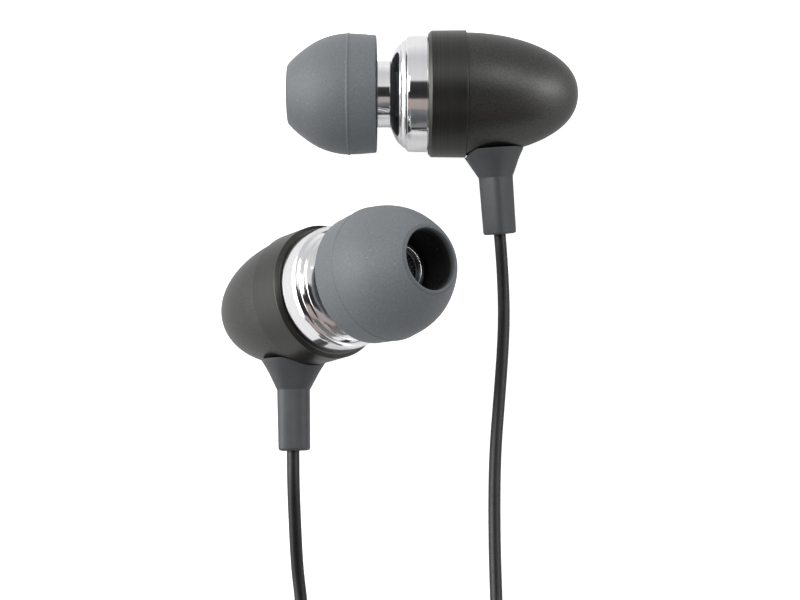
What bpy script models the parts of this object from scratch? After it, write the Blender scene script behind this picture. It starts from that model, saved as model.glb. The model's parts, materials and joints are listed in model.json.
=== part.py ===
"""Wired in-ear earphones: two bullet-shaped earpieces on a table, their cable, slider, splitter and plug.

Units are metres and +Z is up. The table top is z = 0 and the origin is the middle of the pair of earpieces
on it. Each earpiece is turned about its own axis. Its local +Z runs along that axis out of the ear tip, z = 0
is the seam behind the collar, and local -Y is the side that the cable leaves by. Stations along an earpiece
are counted backwards from the front face of its ear tip.
"""

import math

import bmesh
import bpy
import numpy as np
from mathutils import Matrix, Vector

MM = 0.001
FIT_GAP = 0.25 * MM  # clearance between pieces that touch in the real object
TIE_GAP = 0.3 * MM  # clearance between a coil and the strap round it

# Stations along an earpiece, behind the ear tip's front face.
SEAM_STATION = 17.88 * MM
TIP_END = 8.94 * MM
TIP_CORE_END = 6.30 * MM
TIP_WIDEST = 6.22 * MM
NOZZLE_FRONT = 3.30 * MM
NECK_FRONT = 6.60 * MM
NECK_END = 10.40 * MM
SHOULDER_END = 12.54 * MM
RING_END = 13.85 * MM
SLEEVE_END = 17.20 * MM
COLLAR_FRONT = 14.05 * MM
COLLAR_END = 17.75 * MM
SHELL_FRONT = 17.97 * MM
SPIGOT_FRONT = 17.45 * MM
NOSE_STATION = 28.97 * MM
RELIEF_STATION = 20.20 * MM

# Radii of an earpiece.
TIP_RADIUS = 6.00 * MM
TIP_BEAD = 0.05 * MM  # height of the parting bead round the widest place
TIP_BORE_RADIUS = 3.00 * MM
TIP_CORE_WALL = 0.72 * MM
TIP_MOUTH_RADIUS = 2.35 * MM
NOZZLE_RADIUS = 2.50 * MM
BARB_RADIUS = 2.70 * MM
NECK_RADIUS = 3.28 * MM
SHOULDER_RADIUS = 5.57 * MM
RING_RADIUS = 5.66 * MM
SLEEVE_RADIUS = 5.30 * MM
CHAMBER_RADIUS = 4.75 * MM
SOUND_BORE_RADIUS = 1.90 * MM
COLLAR_RADIUS = 6.28 * MM
SHELL_RADIUS = 6.06 * MM
SHELL_INNER_RADIUS = 4.95 * MM
SHELL_NOSE_WALL = 1.10 * MM
NOSE_POWER = 1.90
NOSE_ROOT = 0.47

OUTER_STEPS = 20  # sides of the turned pieces that show
INNER_STEPS = 12  # sides of the small ones and those inside

# Strain relief of an earpiece: distances from the earpiece's axis along the relief.
RELIEF_LEAN = math.radians(4.4)
RELIEF_FLARE_TOP = 5.00 * MM
RELIEF_JUNCTION = 8.40 * MM
RELIEF_END = 14.10 * MM
RELIEF_NECK_START = 4.10 * MM
RELIEF_FLARE_HALF = 3.45 * MM
RELIEF_STEM_HALF = 1.56 * MM
RELIEF_END_HALF = 1.50 * MM
RELIEF_NECK_RADIUS = 1.20 * MM
RELIEF_HOLE_RADIUS = 1.50 * MM

# How the two earpieces lie: seam centre, direction of the ear tip, and turn about the axis.
RIGHT_SEAM = Vector((6.42, 14.85, 6.28)) * MM
RIGHT_HEADING = math.pi
RIGHT_ROLL = math.radians(-16.5)
LEFT_SEAM = Vector((-8.96, -6.74, 9.39)) * MM
LEFT_HEADING = math.radians(1.98)
LEFT_ELEVATION = math.radians(49.92)
LEFT_ROLL = math.radians(4.5)

# Cable.
LEAD_DIAMETER = 1.20 * MM
MAIN_DIAMETER = 2.00 * MM
LEAD_PITCH = 1.65 * MM
MAIN_PITCH = 2.45 * MM
COIL_POINTS = 24
LEAD_COIL_CENTRE = Vector((10.60, -48.50, 1.40)) * MM
LEAD_COIL_MEAN = 6.85 * MM
LEAD_COIL_LAYERS = 2
LEAD_COIL_TURNS = 6
LEAD_COIL_ENTRY = math.radians(75)
LEAD_COIL_EXIT = math.radians(-75)
MAIN_COIL_CENTRE = Vector((-0.70, -127.00, 1.95)) * MM
MAIN_COIL_MEAN = 11.50 * MM
MAIN_COIL_LAYERS = 4
MAIN_COIL_TURNS = 10
MAIN_COIL_ENTRY = math.radians(65)
MAIN_COIL_EXIT = math.radians(-180)
LEAD_SPREAD = 1.15 * MM  # half the distance between the parallel leads above the splitter
LEAD_LEVEL = 1.75 * MM  # height of the leads where the slider and the splitter hold them up

SLIDER_END = -89.90 * MM
SLIDER_LENGTH = 7.00 * MM
SLIDER_HALF_WIDTH = 2.75 * MM
SLIDER_HALF_HEIGHT = 1.70 * MM
SLIDER_CHANNEL_RADIUS = 0.90 * MM
SPLITTER_FRONT = -90.40 * MM

# Plug, along +Y. Stations are counted from the cord side.
PLUG_AXIS = Vector((-16.60, 0.0, 3.25)) * MM
PLUG_START = -107.40 * MM

# Routes of the cable's free stretches, in millimetres, chosen by hand.
RIGHT_RUN = (
    (9.84, 1.09, 2.20), (10.01, -0.95, 1.62), (10.15, -3.40, 1.02), (10.20, -6.00, 0.72),
    (10.08, -9.20, 0.61), (9.80, -12.80, 0.60), (9.48, -16.30, 0.60), (9.19, -19.80, 0.60),
    (9.01, -24.00, 0.60), (8.96, -28.00, 0.60), (8.98, -31.40, 0.60), (9.02, -33.80, 0.64),
    (9.10, -35.60, 0.80), (9.50, -37.10, 1.02), (10.36, -38.28, 1.24), (11.62, -38.94, 1.40),
)
LEFT_RUN = (
    (-10.24, -21.20, 6.07), (-10.20, -23.60, 5.70), (-10.12, -26.50, 4.70), (-10.02, -29.60, 3.25),
    (-9.84, -32.40, 1.95), (-9.62, -34.40, 1.40), (-9.62, -36.00, 1.18), (-9.98, -37.35, 1.18),
    (-10.68, -38.40, 1.28), (-11.62, -38.94, 1.40),
)
RIGHT_TAIL = (
    (11.62, -58.07, 3.05), (10.15, -58.52, 2.95), (8.35, -59.25, 2.40), (6.55, -60.40, 1.60),
    (4.75, -62.05, 1.00), (3.15, -64.25, 0.80), (1.95, -66.80, 1.05), (1.34, -69.40, 1.50),
    (1.16, -71.90, 1.73), (1.15, -75.20, 1.75), (1.15, -82.40, 1.75), (1.15, -90.10, 1.75),
)
MAIN_RUN = (
    (0.00, -104.70, 1.80), (0.10, -107.00, 1.65), (0.72, -109.50, 1.60), (1.95, -111.50, 1.80),
    (3.47, -112.67, 1.95),
)
MAIN_TAIL = (
    (-15.47, -124.70, 9.30), (-15.60, -122.00, 8.85), (-15.95, -119.00, 7.40), (-16.35, -116.00, 5.50),
    (-16.55, -112.80, 3.95), (-16.60, -110.00, 3.35), (-16.60, -107.70, 3.25),
)

BLACK_SATIN = ((0.022, 0.022, 0.021), 0.42, 0.0)
BLACK_COATED = ((0.018, 0.018, 0.018), 0.38, 0.0)
POLISHED = ((0.80, 0.80, 0.80), 0.12, 1.0)
TIP_GREY = ((0.13, 0.135, 0.14), 0.62, 0.0)
RELIEF_GREY = ((0.085, 0.088, 0.095), 0.60, 0.0)
CORD_BLACK = ((0.012, 0.012, 0.013), 0.45, 0.0)
STEEL = ((0.45, 0.45, 0.46), 0.35, 1.0)
COPPER = ((0.70, 0.32, 0.17), 0.35, 1.0)
BOARD_GREEN = ((0.03, 0.16, 0.07), 0.50, 0.0)
FOAM = ((0.03, 0.03, 0.03), 0.90, 0.0)
FILM = ((0.55, 0.56, 0.55), 0.25, 0.0)
GILT = ((0.83, 0.60, 0.27), 0.22, 1.0)


# Scene helpers.


def clear_scene():
    for obj in list(bpy.data.objects):
        bpy.data.objects.remove(obj, do_unlink=True)


def new_collection(name):
    made = bpy.data.collections.new(name)
    bpy.context.scene.collection.children.link(made)
    return made


def dress(obj, finish):
    """Give the object a material of its own with the finish's colour, roughness and metallic value."""
    colour, roughness, metallic = finish
    material = bpy.data.materials.new(obj.name + "_finish")
    material.use_nodes = True
    shader = material.node_tree.nodes["Principled BSDF"]
    shader.inputs["Base Color"].default_value = (*colour, 1.0)
    shader.inputs["Roughness"].default_value = roughness
    shader.inputs["Metallic"].default_value = metallic
    obj.data.materials.append(material)


def add_part(name, data, finish, parent=None):
    obj = bpy.data.objects.new(name, data)
    PARTS.objects.link(obj)
    obj.parent = parent
    dress(obj, finish)
    return obj


def add_cutter(name, mesh, parent):
    obj = bpy.data.objects.new(name, mesh)
    CUTTERS.objects.link(obj)
    obj.parent = parent
    obj.hide_render = True
    obj.display_type = "WIRE"
    return obj


def add_frame(name, location, rotation, parent=None):
    frame = bpy.data.objects.new(name, None)
    PARTS.objects.link(frame)
    frame.empty_display_size = 3 * MM
    frame.parent = parent
    frame.location = location
    frame.rotation_euler = rotation
    return frame


def cut(obj, cutter, operation="DIFFERENCE"):
    modifier = obj.modifiers.new(cutter.name, "BOOLEAN")
    modifier.operation = operation
    modifier.object = cutter
    modifier.solver = "EXACT"


def outline_mesh(name, outline, closed):
    """A chain of edges in the XZ plane through (radius, height) points."""
    mesh = bpy.data.meshes.new(name)
    edges = [(i, i + 1) for i in range(len(outline) - 1)]
    if closed:
        edges.append((len(outline) - 1, 0))
    mesh.from_pydata([(radius, 0.0, height) for radius, height in outline], edges, [])
    return mesh


def add_turn(obj, steps):
    screw = obj.modifiers.new("turn", "SCREW")
    screw.axis = "Z"
    screw.angle = math.tau
    screw.steps = steps
    screw.render_steps = steps
    screw.use_merge_vertices = True
    screw.merge_threshold = 0.000001
    screw.use_smooth_shade = True
    return obj


def turned(name, outline, steps, finish, parent, closed=True):
    """A piece turned about its local Z axis. Its outline runs down the outer side and up the inner one."""
    return add_turn(add_part(name, outline_mesh(name, outline, closed), finish, parent), steps)


def at_stations(outline):
    """Turn (radius, station) points in millimetres into (radius, local z) in metres."""
    return [(radius * MM, SEAM_STATION - station * MM) for radius, station in outline]


def superellipse(half_width, half_height, power, sides, turn=0.0):
    """Points of a rounded section about the origin, the first at the given turn."""
    points = []
    for i in range(sides):
        angle = math.tau * i / sides
        c, s = math.cos(angle), math.sin(angle)
        x = half_width * math.copysign(abs(c) ** (2 / power), c)
        y = half_height * math.copysign(abs(s) ** (2 / power), s)
        points.append((x * math.cos(turn) - y * math.sin(turn), x * math.sin(turn) + y * math.cos(turn)))
    return points


def lofted_mesh(name, sections):
    """A closed skin through sections, each a (height, points) pair along local Z from bottom to top."""
    mesh = bpy.data.meshes.new(name)
    shape = bmesh.new()
    rings = [[shape.verts.new((x, y, height)) for x, y in points] for height, points in sections]
    for lower, upper in zip(rings, rings[1:]):
        count = len(lower)
        for i in range(count):
            j = (i + 1) % count
            shape.faces.new((lower[i], lower[j], upper[j], upper[i]))
    shape.faces.new(list(reversed(rings[0])))
    shape.faces.new(rings[-1])
    bmesh.ops.recalc_face_normals(shape, faces=shape.faces)
    shape.to_mesh(mesh)
    shape.free()
    mesh.shade_smooth()
    mesh.set_sharp_from_angle(angle=math.radians(35))
    return mesh


def cylinder_mesh(name, radius, start, end, sides):
    """A closed cylinder along local Z."""
    mesh = bpy.data.meshes.new(name)
    shape = bmesh.new()
    place = Matrix.Translation((0.0, 0.0, (start + end) / 2))
    bmesh.ops.create_cone(
        shape, cap_ends=True, segments=sides, radius1=radius, radius2=radius, depth=end - start, matrix=place
    )
    shape.to_mesh(mesh)
    shape.free()
    mesh.shade_smooth()
    mesh.set_sharp_from_angle(angle=math.radians(35))
    return mesh


# Earpieces.


def nozzle_rotation(heading, elevation, roll):
    """Rotation that takes local Z to the ear tip's direction and local -Y towards world -Y, then rolls it."""
    axis = Vector(
        (
            math.cos(elevation) * math.cos(heading),
            math.cos(elevation) * math.sin(heading),
            math.sin(elevation),
        )
    )
    side = Vector((0.0, 1.0, 0.0))
    side = (side - axis * side.dot(axis)).normalized()
    across = side.cross(axis)
    turn = Matrix((across, side, axis)).transposed()
    return (turn @ Matrix.Rotation(roll, 3, "Z")).to_euler()


def bullet_outline(radius, length, shares):
    """The shell's turned curve, from its full radius at the seam to its nose."""
    return [
        (radius * max(0.0, 1 - share**NOSE_POWER) ** NOSE_ROOT, SEAM_STATION + share * length)
        for share in shares
    ]


def local(outline):
    """(radius, station) in metres to (radius, local z)."""
    return [(radius, SEAM_STATION - station) for radius, station in outline]


def make_ear_tip(side, frame):
    """Soft flanged tip: a dome with an open skirt round a core tube, whose bore steps in at the mouth."""
    dome = at_stations([(2.60, 0.00), (2.92, 0.16), (3.50, 0.69), (4.38, 1.74), (5.22, 3.06), (5.75, 4.50)])
    dome += at_stations([(5.97, 6.00)])
    bead = local([(TIP_RADIUS + TIP_BEAD, TIP_WIDEST), (TIP_RADIUS - 0.02 * MM, TIP_WIDEST + 0.16 * MM)])
    skirt = at_stations([(5.90, 7.80), (5.76, 8.55)]) + local([(5.43 * MM, TIP_END)])
    inside = at_stations([(5.00, 8.80), (5.30, 7.20), (5.10, 5.20), (4.50, 3.50), (3.80, 2.90)])
    bore = [
        (TIP_BORE_RADIUS + TIP_CORE_WALL, TIP_CORE_END),
        (TIP_BORE_RADIUS, TIP_CORE_END),
        (TIP_BORE_RADIUS, 1.45 * MM),
        (TIP_MOUTH_RADIUS, 1.25 * MM),
        (TIP_MOUTH_RADIUS, 0.22 * MM),
    ]
    outline = dome + bead + skirt + inside + local(bore)
    return turned(side + "_ear_tip", outline, OUTER_STEPS, TIP_GREY, frame)


def make_front_housing(side, frame):
    """Polished turning: barbed nozzle, neck, rounded shoulder with two grooves, ring and sleeve."""
    outline = [
        (2.30 * MM, NOZZLE_FRONT),
        (BARB_RADIUS, NOZZLE_FRONT + 0.4 * MM),
        (BARB_RADIUS, NOZZLE_FRONT + 1.0 * MM),
        (NOZZLE_RADIUS, NOZZLE_FRONT + 1.2 * MM),
        (NOZZLE_RADIUS, NECK_FRONT),
        (NECK_RADIUS, NECK_FRONT),
        (NECK_RADIUS, NECK_END - 0.10 * MM),
        (NECK_RADIUS + 0.12 * MM, NECK_END + 0.02 * MM),
    ]
    shoulder = (
        (3.62, 10.47), (4.31, 10.77), (4.76, 11.06), (4.97, 11.28), (4.92, 11.36), (5.10, 11.46),
        (5.30, 11.78), (5.24, 11.86), (5.38, 11.95), (5.49, 12.20),
    )
    outline += [(radius * MM, station * MM) for radius, station in shoulder]
    outline += [
        (SHOULDER_RADIUS, SHOULDER_END - 0.04 * MM),
        (RING_RADIUS, SHOULDER_END + 0.06 * MM),
        (RING_RADIUS, RING_END),
        (SLEEVE_RADIUS, RING_END),
        (SLEEVE_RADIUS, SLEEVE_END),
        (CHAMBER_RADIUS, SLEEVE_END),
        (CHAMBER_RADIUS, 12.70 * MM),
        (SOUND_BORE_RADIUS, 11.40 * MM),
        (SOUND_BORE_RADIUS, NOZZLE_FRONT),
    ]
    return turned(side + "_front_housing", local(outline), OUTER_STEPS, POLISHED, frame)


def make_driver(side, frame):
    """The moving-coil driver in the housing's chamber, the mesh in the nozzle and the board behind them."""
    mesh_disc = [(0.0, 3.60), (1.65, 3.60), (1.65, 3.90), (0.0, 3.90)]
    turned(side + "_nozzle_mesh", at_stations(mesh_disc), INNER_STEPS, STEEL, frame, closed=False)
    seal = [(4.50, 13.00), (4.50, 13.30), (3.90, 13.30), (3.90, 13.00)]
    turned(side + "_driver_seal", at_stations(seal), INNER_STEPS, FOAM, frame)
    basket = [
        (4.50, 13.55), (4.50, 14.40), (3.90, 14.90), (3.90, 16.40), (3.50, 16.40), (3.50, 14.75),
        (4.10, 14.20), (4.10, 13.55),
    ]
    turned(side + "_driver_basket", at_stations(basket), INNER_STEPS, STEEL, frame)
    diaphragm = [
        (0.0, 13.85), (1.70, 14.12), (3.00, 13.75), (3.85, 13.95), (3.85, 14.13), (3.00, 13.95),
        (1.70, 14.32), (0.0, 14.05),
    ]
    turned(side + "_diaphragm", at_stations(diaphragm), INNER_STEPS, FILM, frame, closed=False)
    coil = [(1.80, 14.55), (1.80, 15.60), (1.55, 15.60), (1.55, 14.55)]
    turned(side + "_voice_coil", at_stations(coil), INNER_STEPS, COPPER, frame)
    yoke = [(2.05, 14.95), (3.25, 14.95), (3.25, 16.90), (0.0, 16.90)]
    pot = [(0.0, 16.20), (2.05, 16.20)]
    turned(side + "_driver_yoke", at_stations(pot + yoke), INNER_STEPS, STEEL, frame, closed=False)
    magnet = [(0.0, 14.75), (1.30, 14.75), (1.30, 15.95), (0.0, 15.95)]
    turned(side + "_driver_magnet", at_stations(magnet), INNER_STEPS, STEEL, frame, closed=False)
    board = bpy.data.meshes.new(side + "_terminal_board")
    shape = bmesh.new()
    middle = SEAM_STATION - 17.40 * MM
    size = Matrix.Diagonal((5.0 * MM, 3.0 * MM, 0.5 * MM, 1.0))
    bmesh.ops.create_cube(shape, size=1.0, matrix=Matrix.Translation((0.0, 0.0, middle)) @ size)
    shape.to_mesh(board)
    shape.free()
    add_part(board.name, board, BOARD_GREEN, frame)
    damper = [(0.0, 23.00), (3.10, 23.00), (3.10, 24.00), (0.0, 24.00)]
    turned(side + "_rear_damper", at_stations(damper), INNER_STEPS, FOAM, frame, closed=False)


def make_collar(side, frame):
    """Black ring behind the polished metal, bevelled in front and eased behind."""
    outline = [
        (COLLAR_RADIUS - 0.40 * MM, COLLAR_FRONT),
        (COLLAR_RADIUS - 0.03 * MM, COLLAR_FRONT + 0.37 * MM),
        (COLLAR_RADIUS, COLLAR_FRONT + 0.55 * MM),
        (COLLAR_RADIUS, COLLAR_END - 0.25 * MM),
        (COLLAR_RADIUS - 0.06 * MM, COLLAR_END - 0.07 * MM),
        (COLLAR_RADIUS - 0.20 * MM, COLLAR_END),
        (SLEEVE_RADIUS + FIT_GAP, COLLAR_END),
        (SLEEVE_RADIUS + FIT_GAP, COLLAR_FRONT),
    ]
    return turned(side + "_collar", local(outline), OUTER_STEPS, BLACK_COATED, frame)


def make_rear_shell(side, frame, relief_frame):
    """Hollow bullet with a spigot that seats in the collar and a hole where the strain relief enters."""
    length = NOSE_STATION - SEAM_STATION
    inner_length = length - SHELL_NOSE_WALL
    inner = bullet_outline(SHELL_INNER_RADIUS, inner_length, (1.0, 0.96, 0.85, 0.65, 0.35, 0.08))
    spigot = [
        (SHELL_INNER_RADIUS, SPIGOT_FRONT),
        (SLEEVE_RADIUS, SPIGOT_FRONT),
        (SLEEVE_RADIUS, SHELL_FRONT),
    ]
    shares = (0.008, 0.15, 0.30, 0.45, 0.60, 0.73, 0.84, 0.92, 0.97, 0.993, 1.0)
    outer = bullet_outline(SHELL_RADIUS, length, shares)
    outline = local(inner + spigot + outer)
    shell = turned(side + "_rear_shell", outline, OUTER_STEPS, BLACK_SATIN, frame, closed=False)
    hole = cylinder_mesh(side + "_shell_hole", RELIEF_HOLE_RADIUS, 3.6 * MM, 7.0 * MM, 16)
    cut(shell, add_cutter(hole.name, hole, relief_frame))
    return shell


def make_strain_relief(side, frame, relief_frame):
    """Grey rubber boot: a cone saddled to the shell, then a rounded square stem, corners fore and aft."""
    name = side + "_strain_relief"
    corner_turn = math.radians(45)
    plan = (
        (RELIEF_FLARE_TOP, RELIEF_FLARE_HALF, 2.05),
        ((RELIEF_FLARE_TOP + RELIEF_JUNCTION) / 2, (RELIEF_FLARE_HALF + RELIEF_STEM_HALF) / 2, 2.15),
        (RELIEF_JUNCTION, RELIEF_STEM_HALF, 2.4),
        (RELIEF_END - 0.40 * MM, RELIEF_END_HALF, 2.4),
        (RELIEF_END - 0.12 * MM, RELIEF_END_HALF - 0.12 * MM, 2.4),
        (RELIEF_END, RELIEF_END_HALF - 0.40 * MM, 2.3),
    )
    sections = [(at, superellipse(half, half, power, 20, corner_turn)) for at, half, power in plan]
    relief = add_part(name, lofted_mesh(name, sections), RELIEF_GREY, relief_frame)
    saddle = [(0.0, 12.00), (6.40, 12.00), (6.40, 17.90), (5.90, 23.40), (5.30, 26.00), (0.0, 26.00)]
    cutter = outline_mesh(side + "_saddle", at_stations(saddle), closed=False)
    cut(relief, add_turn(add_cutter(cutter.name, cutter, frame), OUTER_STEPS))
    neck = cylinder_mesh(
        side + "_relief_neck", RELIEF_NECK_RADIUS, RELIEF_NECK_START, RELIEF_JUNCTION - 1 * MM, 12
    )
    cut(relief, add_cutter(neck.name, neck, relief_frame), "UNION")
    stop = bpy.data.meshes.new(side + "_cable_stop")
    shape = bmesh.new()
    place = Matrix.Translation((0.0, 0.0, 2.80 * MM)) @ Matrix.Diagonal((1.1, 1.1, 0.85, 1.0))
    bmesh.ops.create_uvsphere(shape, u_segments=10, v_segments=6, radius=1.0 * MM, matrix=place)
    shape.to_mesh(stop)
    shape.free()
    stop.shade_smooth()
    add_part(stop.name, stop, CORD_BLACK, relief_frame)
    return relief


def make_earpiece(side, seam, rotation):
    frame = add_frame(side + "_earpiece", seam, rotation)
    relief_place = (0.0, 0.0, SEAM_STATION - RELIEF_STATION)
    relief_turn = (math.pi / 2 + RELIEF_LEAN, 0.0, 0.0)
    relief_frame = add_frame(side + "_relief_root", relief_place, relief_turn, frame)
    make_ear_tip(side, frame)
    make_front_housing(side, frame)
    make_driver(side, frame)
    make_collar(side, frame)
    make_rear_shell(side, frame, relief_frame)
    make_strain_relief(side, frame, relief_frame)


# Cable.


def mirrored(points):
    return [(-x, y, z) for x, y, z in points]


def smooth_route(route, spacing):
    """Evenly spaced points, in metres, on the natural cubic curve through a route given in millimetres."""
    knots = np.array(route, dtype=float) * MM
    steps = np.linalg.norm(np.diff(knots, axis=0), axis=1)
    at = np.concatenate([[0.0], np.cumsum(steps)])
    count = len(knots)
    system = np.eye(count)
    target = np.zeros_like(knots)
    slopes = np.diff(knots, axis=0) / steps[:, None]
    for i in range(1, count - 1):
        system[i, i - 1 : i + 2] = (steps[i - 1], 2 * (steps[i - 1] + steps[i]), steps[i])
        target[i] = 6 * (slopes[i] - slopes[i - 1])
    bends = np.linalg.solve(system, target)

    def curve(where):
        i = min(int(np.searchsorted(at, where, side="right")) - 1, count - 2)
        t, h = where - at[i], steps[i]
        rise = slopes[i] - h * (2 * bends[i] + bends[i + 1]) / 6
        return knots[i] + rise * t + bends[i] * t**2 / 2 + (bends[i + 1] - bends[i]) * t**3 / (6 * h)

    fine = np.array([curve(where) for where in np.linspace(0.0, at[-1], 400)])
    run = np.concatenate([[0.0], np.cumsum(np.linalg.norm(np.diff(fine, axis=0), axis=1))])
    pieces = max(2, round(run[-1] / spacing))
    even = np.linspace(0.0, run[-1], pieces + 1)
    return np.stack([np.interp(even, run, fine[:, axis]) for axis in range(3)], axis=1)


def coil_points(centre, mean, pitch, layers, turns, entry, leave, diameter):
    """A flat coil wound clockwise that spirals in and out again, a layer higher each time it reverses."""
    sweep = entry - leave + math.tau * turns
    steps = round(COIL_POINTS * sweep / math.tau)
    per_layer = sweep / layers
    swing = pitch * per_layer / math.tau
    points = []
    for i in range(steps + 1):
        turned_by = sweep * i / steps
        layer, part = divmod(turned_by / per_layer, 1.0)
        inward = part if layer % 2 == 0 else 1 - part
        radius = mean + swing / 2 - swing * inward
        height = 0.0
        for reversal in range(1, layers):
            past = (turned_by - reversal * per_layer) / math.pi + 0.5
            share = min(max(past, 0.0), 1.0)
            height += pitch * share * share * (3 - 2 * share)
        angle = entry - turned_by
        points.append(centre + Vector((radius * math.cos(angle), radius * math.sin(angle), height)))
    into = Vector((math.sin(entry), -math.cos(entry), 0.0))
    out = Vector((math.sin(leave), -math.cos(leave), 0.0))
    points.insert(0, points[0] - into * diameter)
    points.append(points[-1] + out * diameter)
    return np.array([tuple(point) for point in points])


def least_gap(points, diameter):
    """The least space between a coil's surface and itself, leaving out the quarter turn on either side."""
    apart = np.linalg.norm(points[:, None, :] - points[None, :, :], axis=2)
    index = np.arange(len(points))
    near = np.abs(index[:, None] - index[None, :]) < COIL_POINTS // 4
    return apart[~near].min() - diameter


def route_length(points):
    return float(np.linalg.norm(np.diff(points, axis=0), axis=1).sum())


def cord_tube(name, points, diameter, sides_per_quarter):
    """An unbroken round tube through the points, with closed ends."""
    curve = bpy.data.curves.new(name, "CURVE")
    curve.dimensions = "3D"
    curve.bevel_depth = diameter / 2
    curve.bevel_resolution = sides_per_quarter
    curve.use_fill_caps = True
    line = curve.splines.new("POLY")
    line.points.add(len(points) - 1)
    for point, place in zip(line.points, points):
        point.co = (*place, 1.0)
    return add_part(name, curve, CORD_BLACK)


def ring_strap(name, centre, reach, height, wall, width, finish, angle):
    """A flat strap that closes round a coil: an upright rounded frame, as deep as the strap is wide."""
    curve = bpy.data.curves.new(name, "CURVE")
    curve.dimensions = "2D"
    curve.fill_mode = "BOTH"
    curve.extrude = width / 2
    near, far = reach
    low, high = height
    for grow in (wall, 0.0):
        corner = 0.8 * MM + grow
        outline = []
        corners = (
            (far + grow - corner, high + grow - corner, 0),
            (near - grow + corner, high + grow - corner, 1),
            (near - grow + corner, low - grow + corner, 2),
            (far + grow - corner, low - grow + corner, 3),
        )
        for x, y, quarter in corners:
            for part in (0.0, 0.5, 1.0):
                turn = (quarter + part) * math.pi / 2
                outline.append((x + corner * math.cos(turn), y + corner * math.sin(turn)))
        line = curve.splines.new("POLY")
        line.points.add(len(outline) - 1)
        for point, place in zip(line.points, outline):
            point.co = (*place, 0.0, 1.0)
        line.use_cyclic_u = True
    strap = add_part(name, curve, finish)
    strap.location = (centre[0], centre[1], 0.0)
    strap.rotation_euler = (math.pi / 2, 0.0, angle)
    return strap


def make_lead(side, run, tail):
    """One earpiece's lead: down to the table, round its coil, and on to the splitter."""
    hand = 1 if side == "right" else -1
    spacing = 2.4 * LEAD_DIAMETER
    coil = coil_points(
        LEAD_COIL_CENTRE,
        LEAD_COIL_MEAN,
        LEAD_PITCH,
        LEAD_COIL_LAYERS,
        LEAD_COIL_TURNS,
        LEAD_COIL_ENTRY,
        LEAD_COIL_EXIT,
        LEAD_DIAMETER,
    )
    coil[:, 0] *= hand
    first, last = smooth_route(run, spacing), smooth_route(tail, spacing)
    cord_tube(side + "_lead_run", first, LEAD_DIAMETER, 2)
    cord_tube(side + "_lead_coil", coil, LEAD_DIAMETER, 1)
    cord_tube(side + "_lead_tail", last, LEAD_DIAMETER, 2)
    total = sum(route_length(points) for points in (first, coil, last))
    gap = least_gap(coil, LEAD_DIAMETER)
    print(f"{side} lead {total * 1000:.0f} mm long, least gap in its coil {gap * 1000:.2f} mm")
    swing = LEAD_PITCH * (LEAD_COIL_TURNS + (LEAD_COIL_ENTRY - LEAD_COIL_EXIT) / math.tau) / LEAD_COIL_LAYERS
    reach = half_reach(LEAD_COIL_MEAN, swing, LEAD_DIAMETER)
    centre = (LEAD_COIL_CENTRE.x * hand, LEAD_COIL_CENTRE.y)
    top = LEAD_COIL_CENTRE.z + LEAD_PITCH + LEAD_DIAMETER / 2 + TIE_GAP
    angle = 0.0 if hand > 0 else math.pi
    ring_strap(
        side + "_lead_tie", centre, reach, (0.5 * MM, top), 0.5 * MM, 2.2 * MM, RELIEF_GREY, angle
    )


def half_reach(mean, swing, diameter):
    """Inner and outer radius of the room a coil's bundle needs."""
    spare = swing / 2 + diameter / 2 + TIE_GAP
    return mean - spare, mean + spare


def make_main_cord():
    """The thicker cord from the splitter through its coil to the plug."""
    spacing = 2.4 * MAIN_DIAMETER
    coil = coil_points(
        MAIN_COIL_CENTRE,
        MAIN_COIL_MEAN,
        MAIN_PITCH,
        MAIN_COIL_LAYERS,
        MAIN_COIL_TURNS,
        MAIN_COIL_ENTRY,
        MAIN_COIL_EXIT,
        MAIN_DIAMETER,
    )
    first, last = smooth_route(MAIN_RUN, spacing / 2), smooth_route(MAIN_TAIL, spacing)
    cord_tube("main_cord_run", first, MAIN_DIAMETER, 2)
    cord_tube("main_cord_coil", coil, MAIN_DIAMETER, 1)
    cord_tube("main_cord_tail", last, MAIN_DIAMETER, 2)
    total = sum(route_length(points) for points in (first, coil, last))
    gap = least_gap(coil, MAIN_DIAMETER)
    print(f"main cord {total * 1000:.0f} mm long, least gap in its coil {gap * 1000:.2f} mm")
    swing = MAIN_PITCH * (MAIN_COIL_TURNS + (MAIN_COIL_ENTRY - MAIN_COIL_EXIT) / math.tau) / MAIN_COIL_LAYERS
    reach = half_reach(MAIN_COIL_MEAN, swing, MAIN_DIAMETER)
    rise = MAIN_PITCH * (MAIN_COIL_LAYERS - 1) + MAIN_DIAMETER / 2 + TIE_GAP
    top = MAIN_COIL_CENTRE.z + rise
    centre = (MAIN_COIL_CENTRE.x, MAIN_COIL_CENTRE.y)
    ring_strap("main_cord_tie", centre, reach, (0.6 * MM, top), 0.6 * MM, 3.0 * MM, RELIEF_GREY, 0.0)


def make_slider():
    """Flattened barrel with a channel for each lead."""
    curve = bpy.data.curves.new("cinch_slider", "CURVE")
    curve.dimensions = "2D"
    curve.fill_mode = "BOTH"
    curve.extrude = SLIDER_LENGTH / 2
    outlines = [superellipse(SLIDER_HALF_WIDTH, SLIDER_HALF_HEIGHT, 2.8, 24)]
    for offset in (-LEAD_SPREAD, LEAD_SPREAD):
        circle = superellipse(SLIDER_CHANNEL_RADIUS, SLIDER_CHANNEL_RADIUS, 2.0, 12)
        outlines.append([(x + offset, y) for x, y in circle])
    for outline in outlines:
        line = curve.splines.new("POLY")
        line.points.add(len(outline) - 1)
        for point, place in zip(line.points, outline):
            point.co = (*place, 0.0, 1.0)
        line.use_cyclic_u = True
    slider = add_part("cinch_slider", curve, BLACK_COATED)
    slider.location = (0.0, SLIDER_END + SLIDER_LENGTH / 2, LEAD_LEVEL)
    slider.rotation_euler = (math.pi / 2, 0.0, 0.0)


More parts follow.
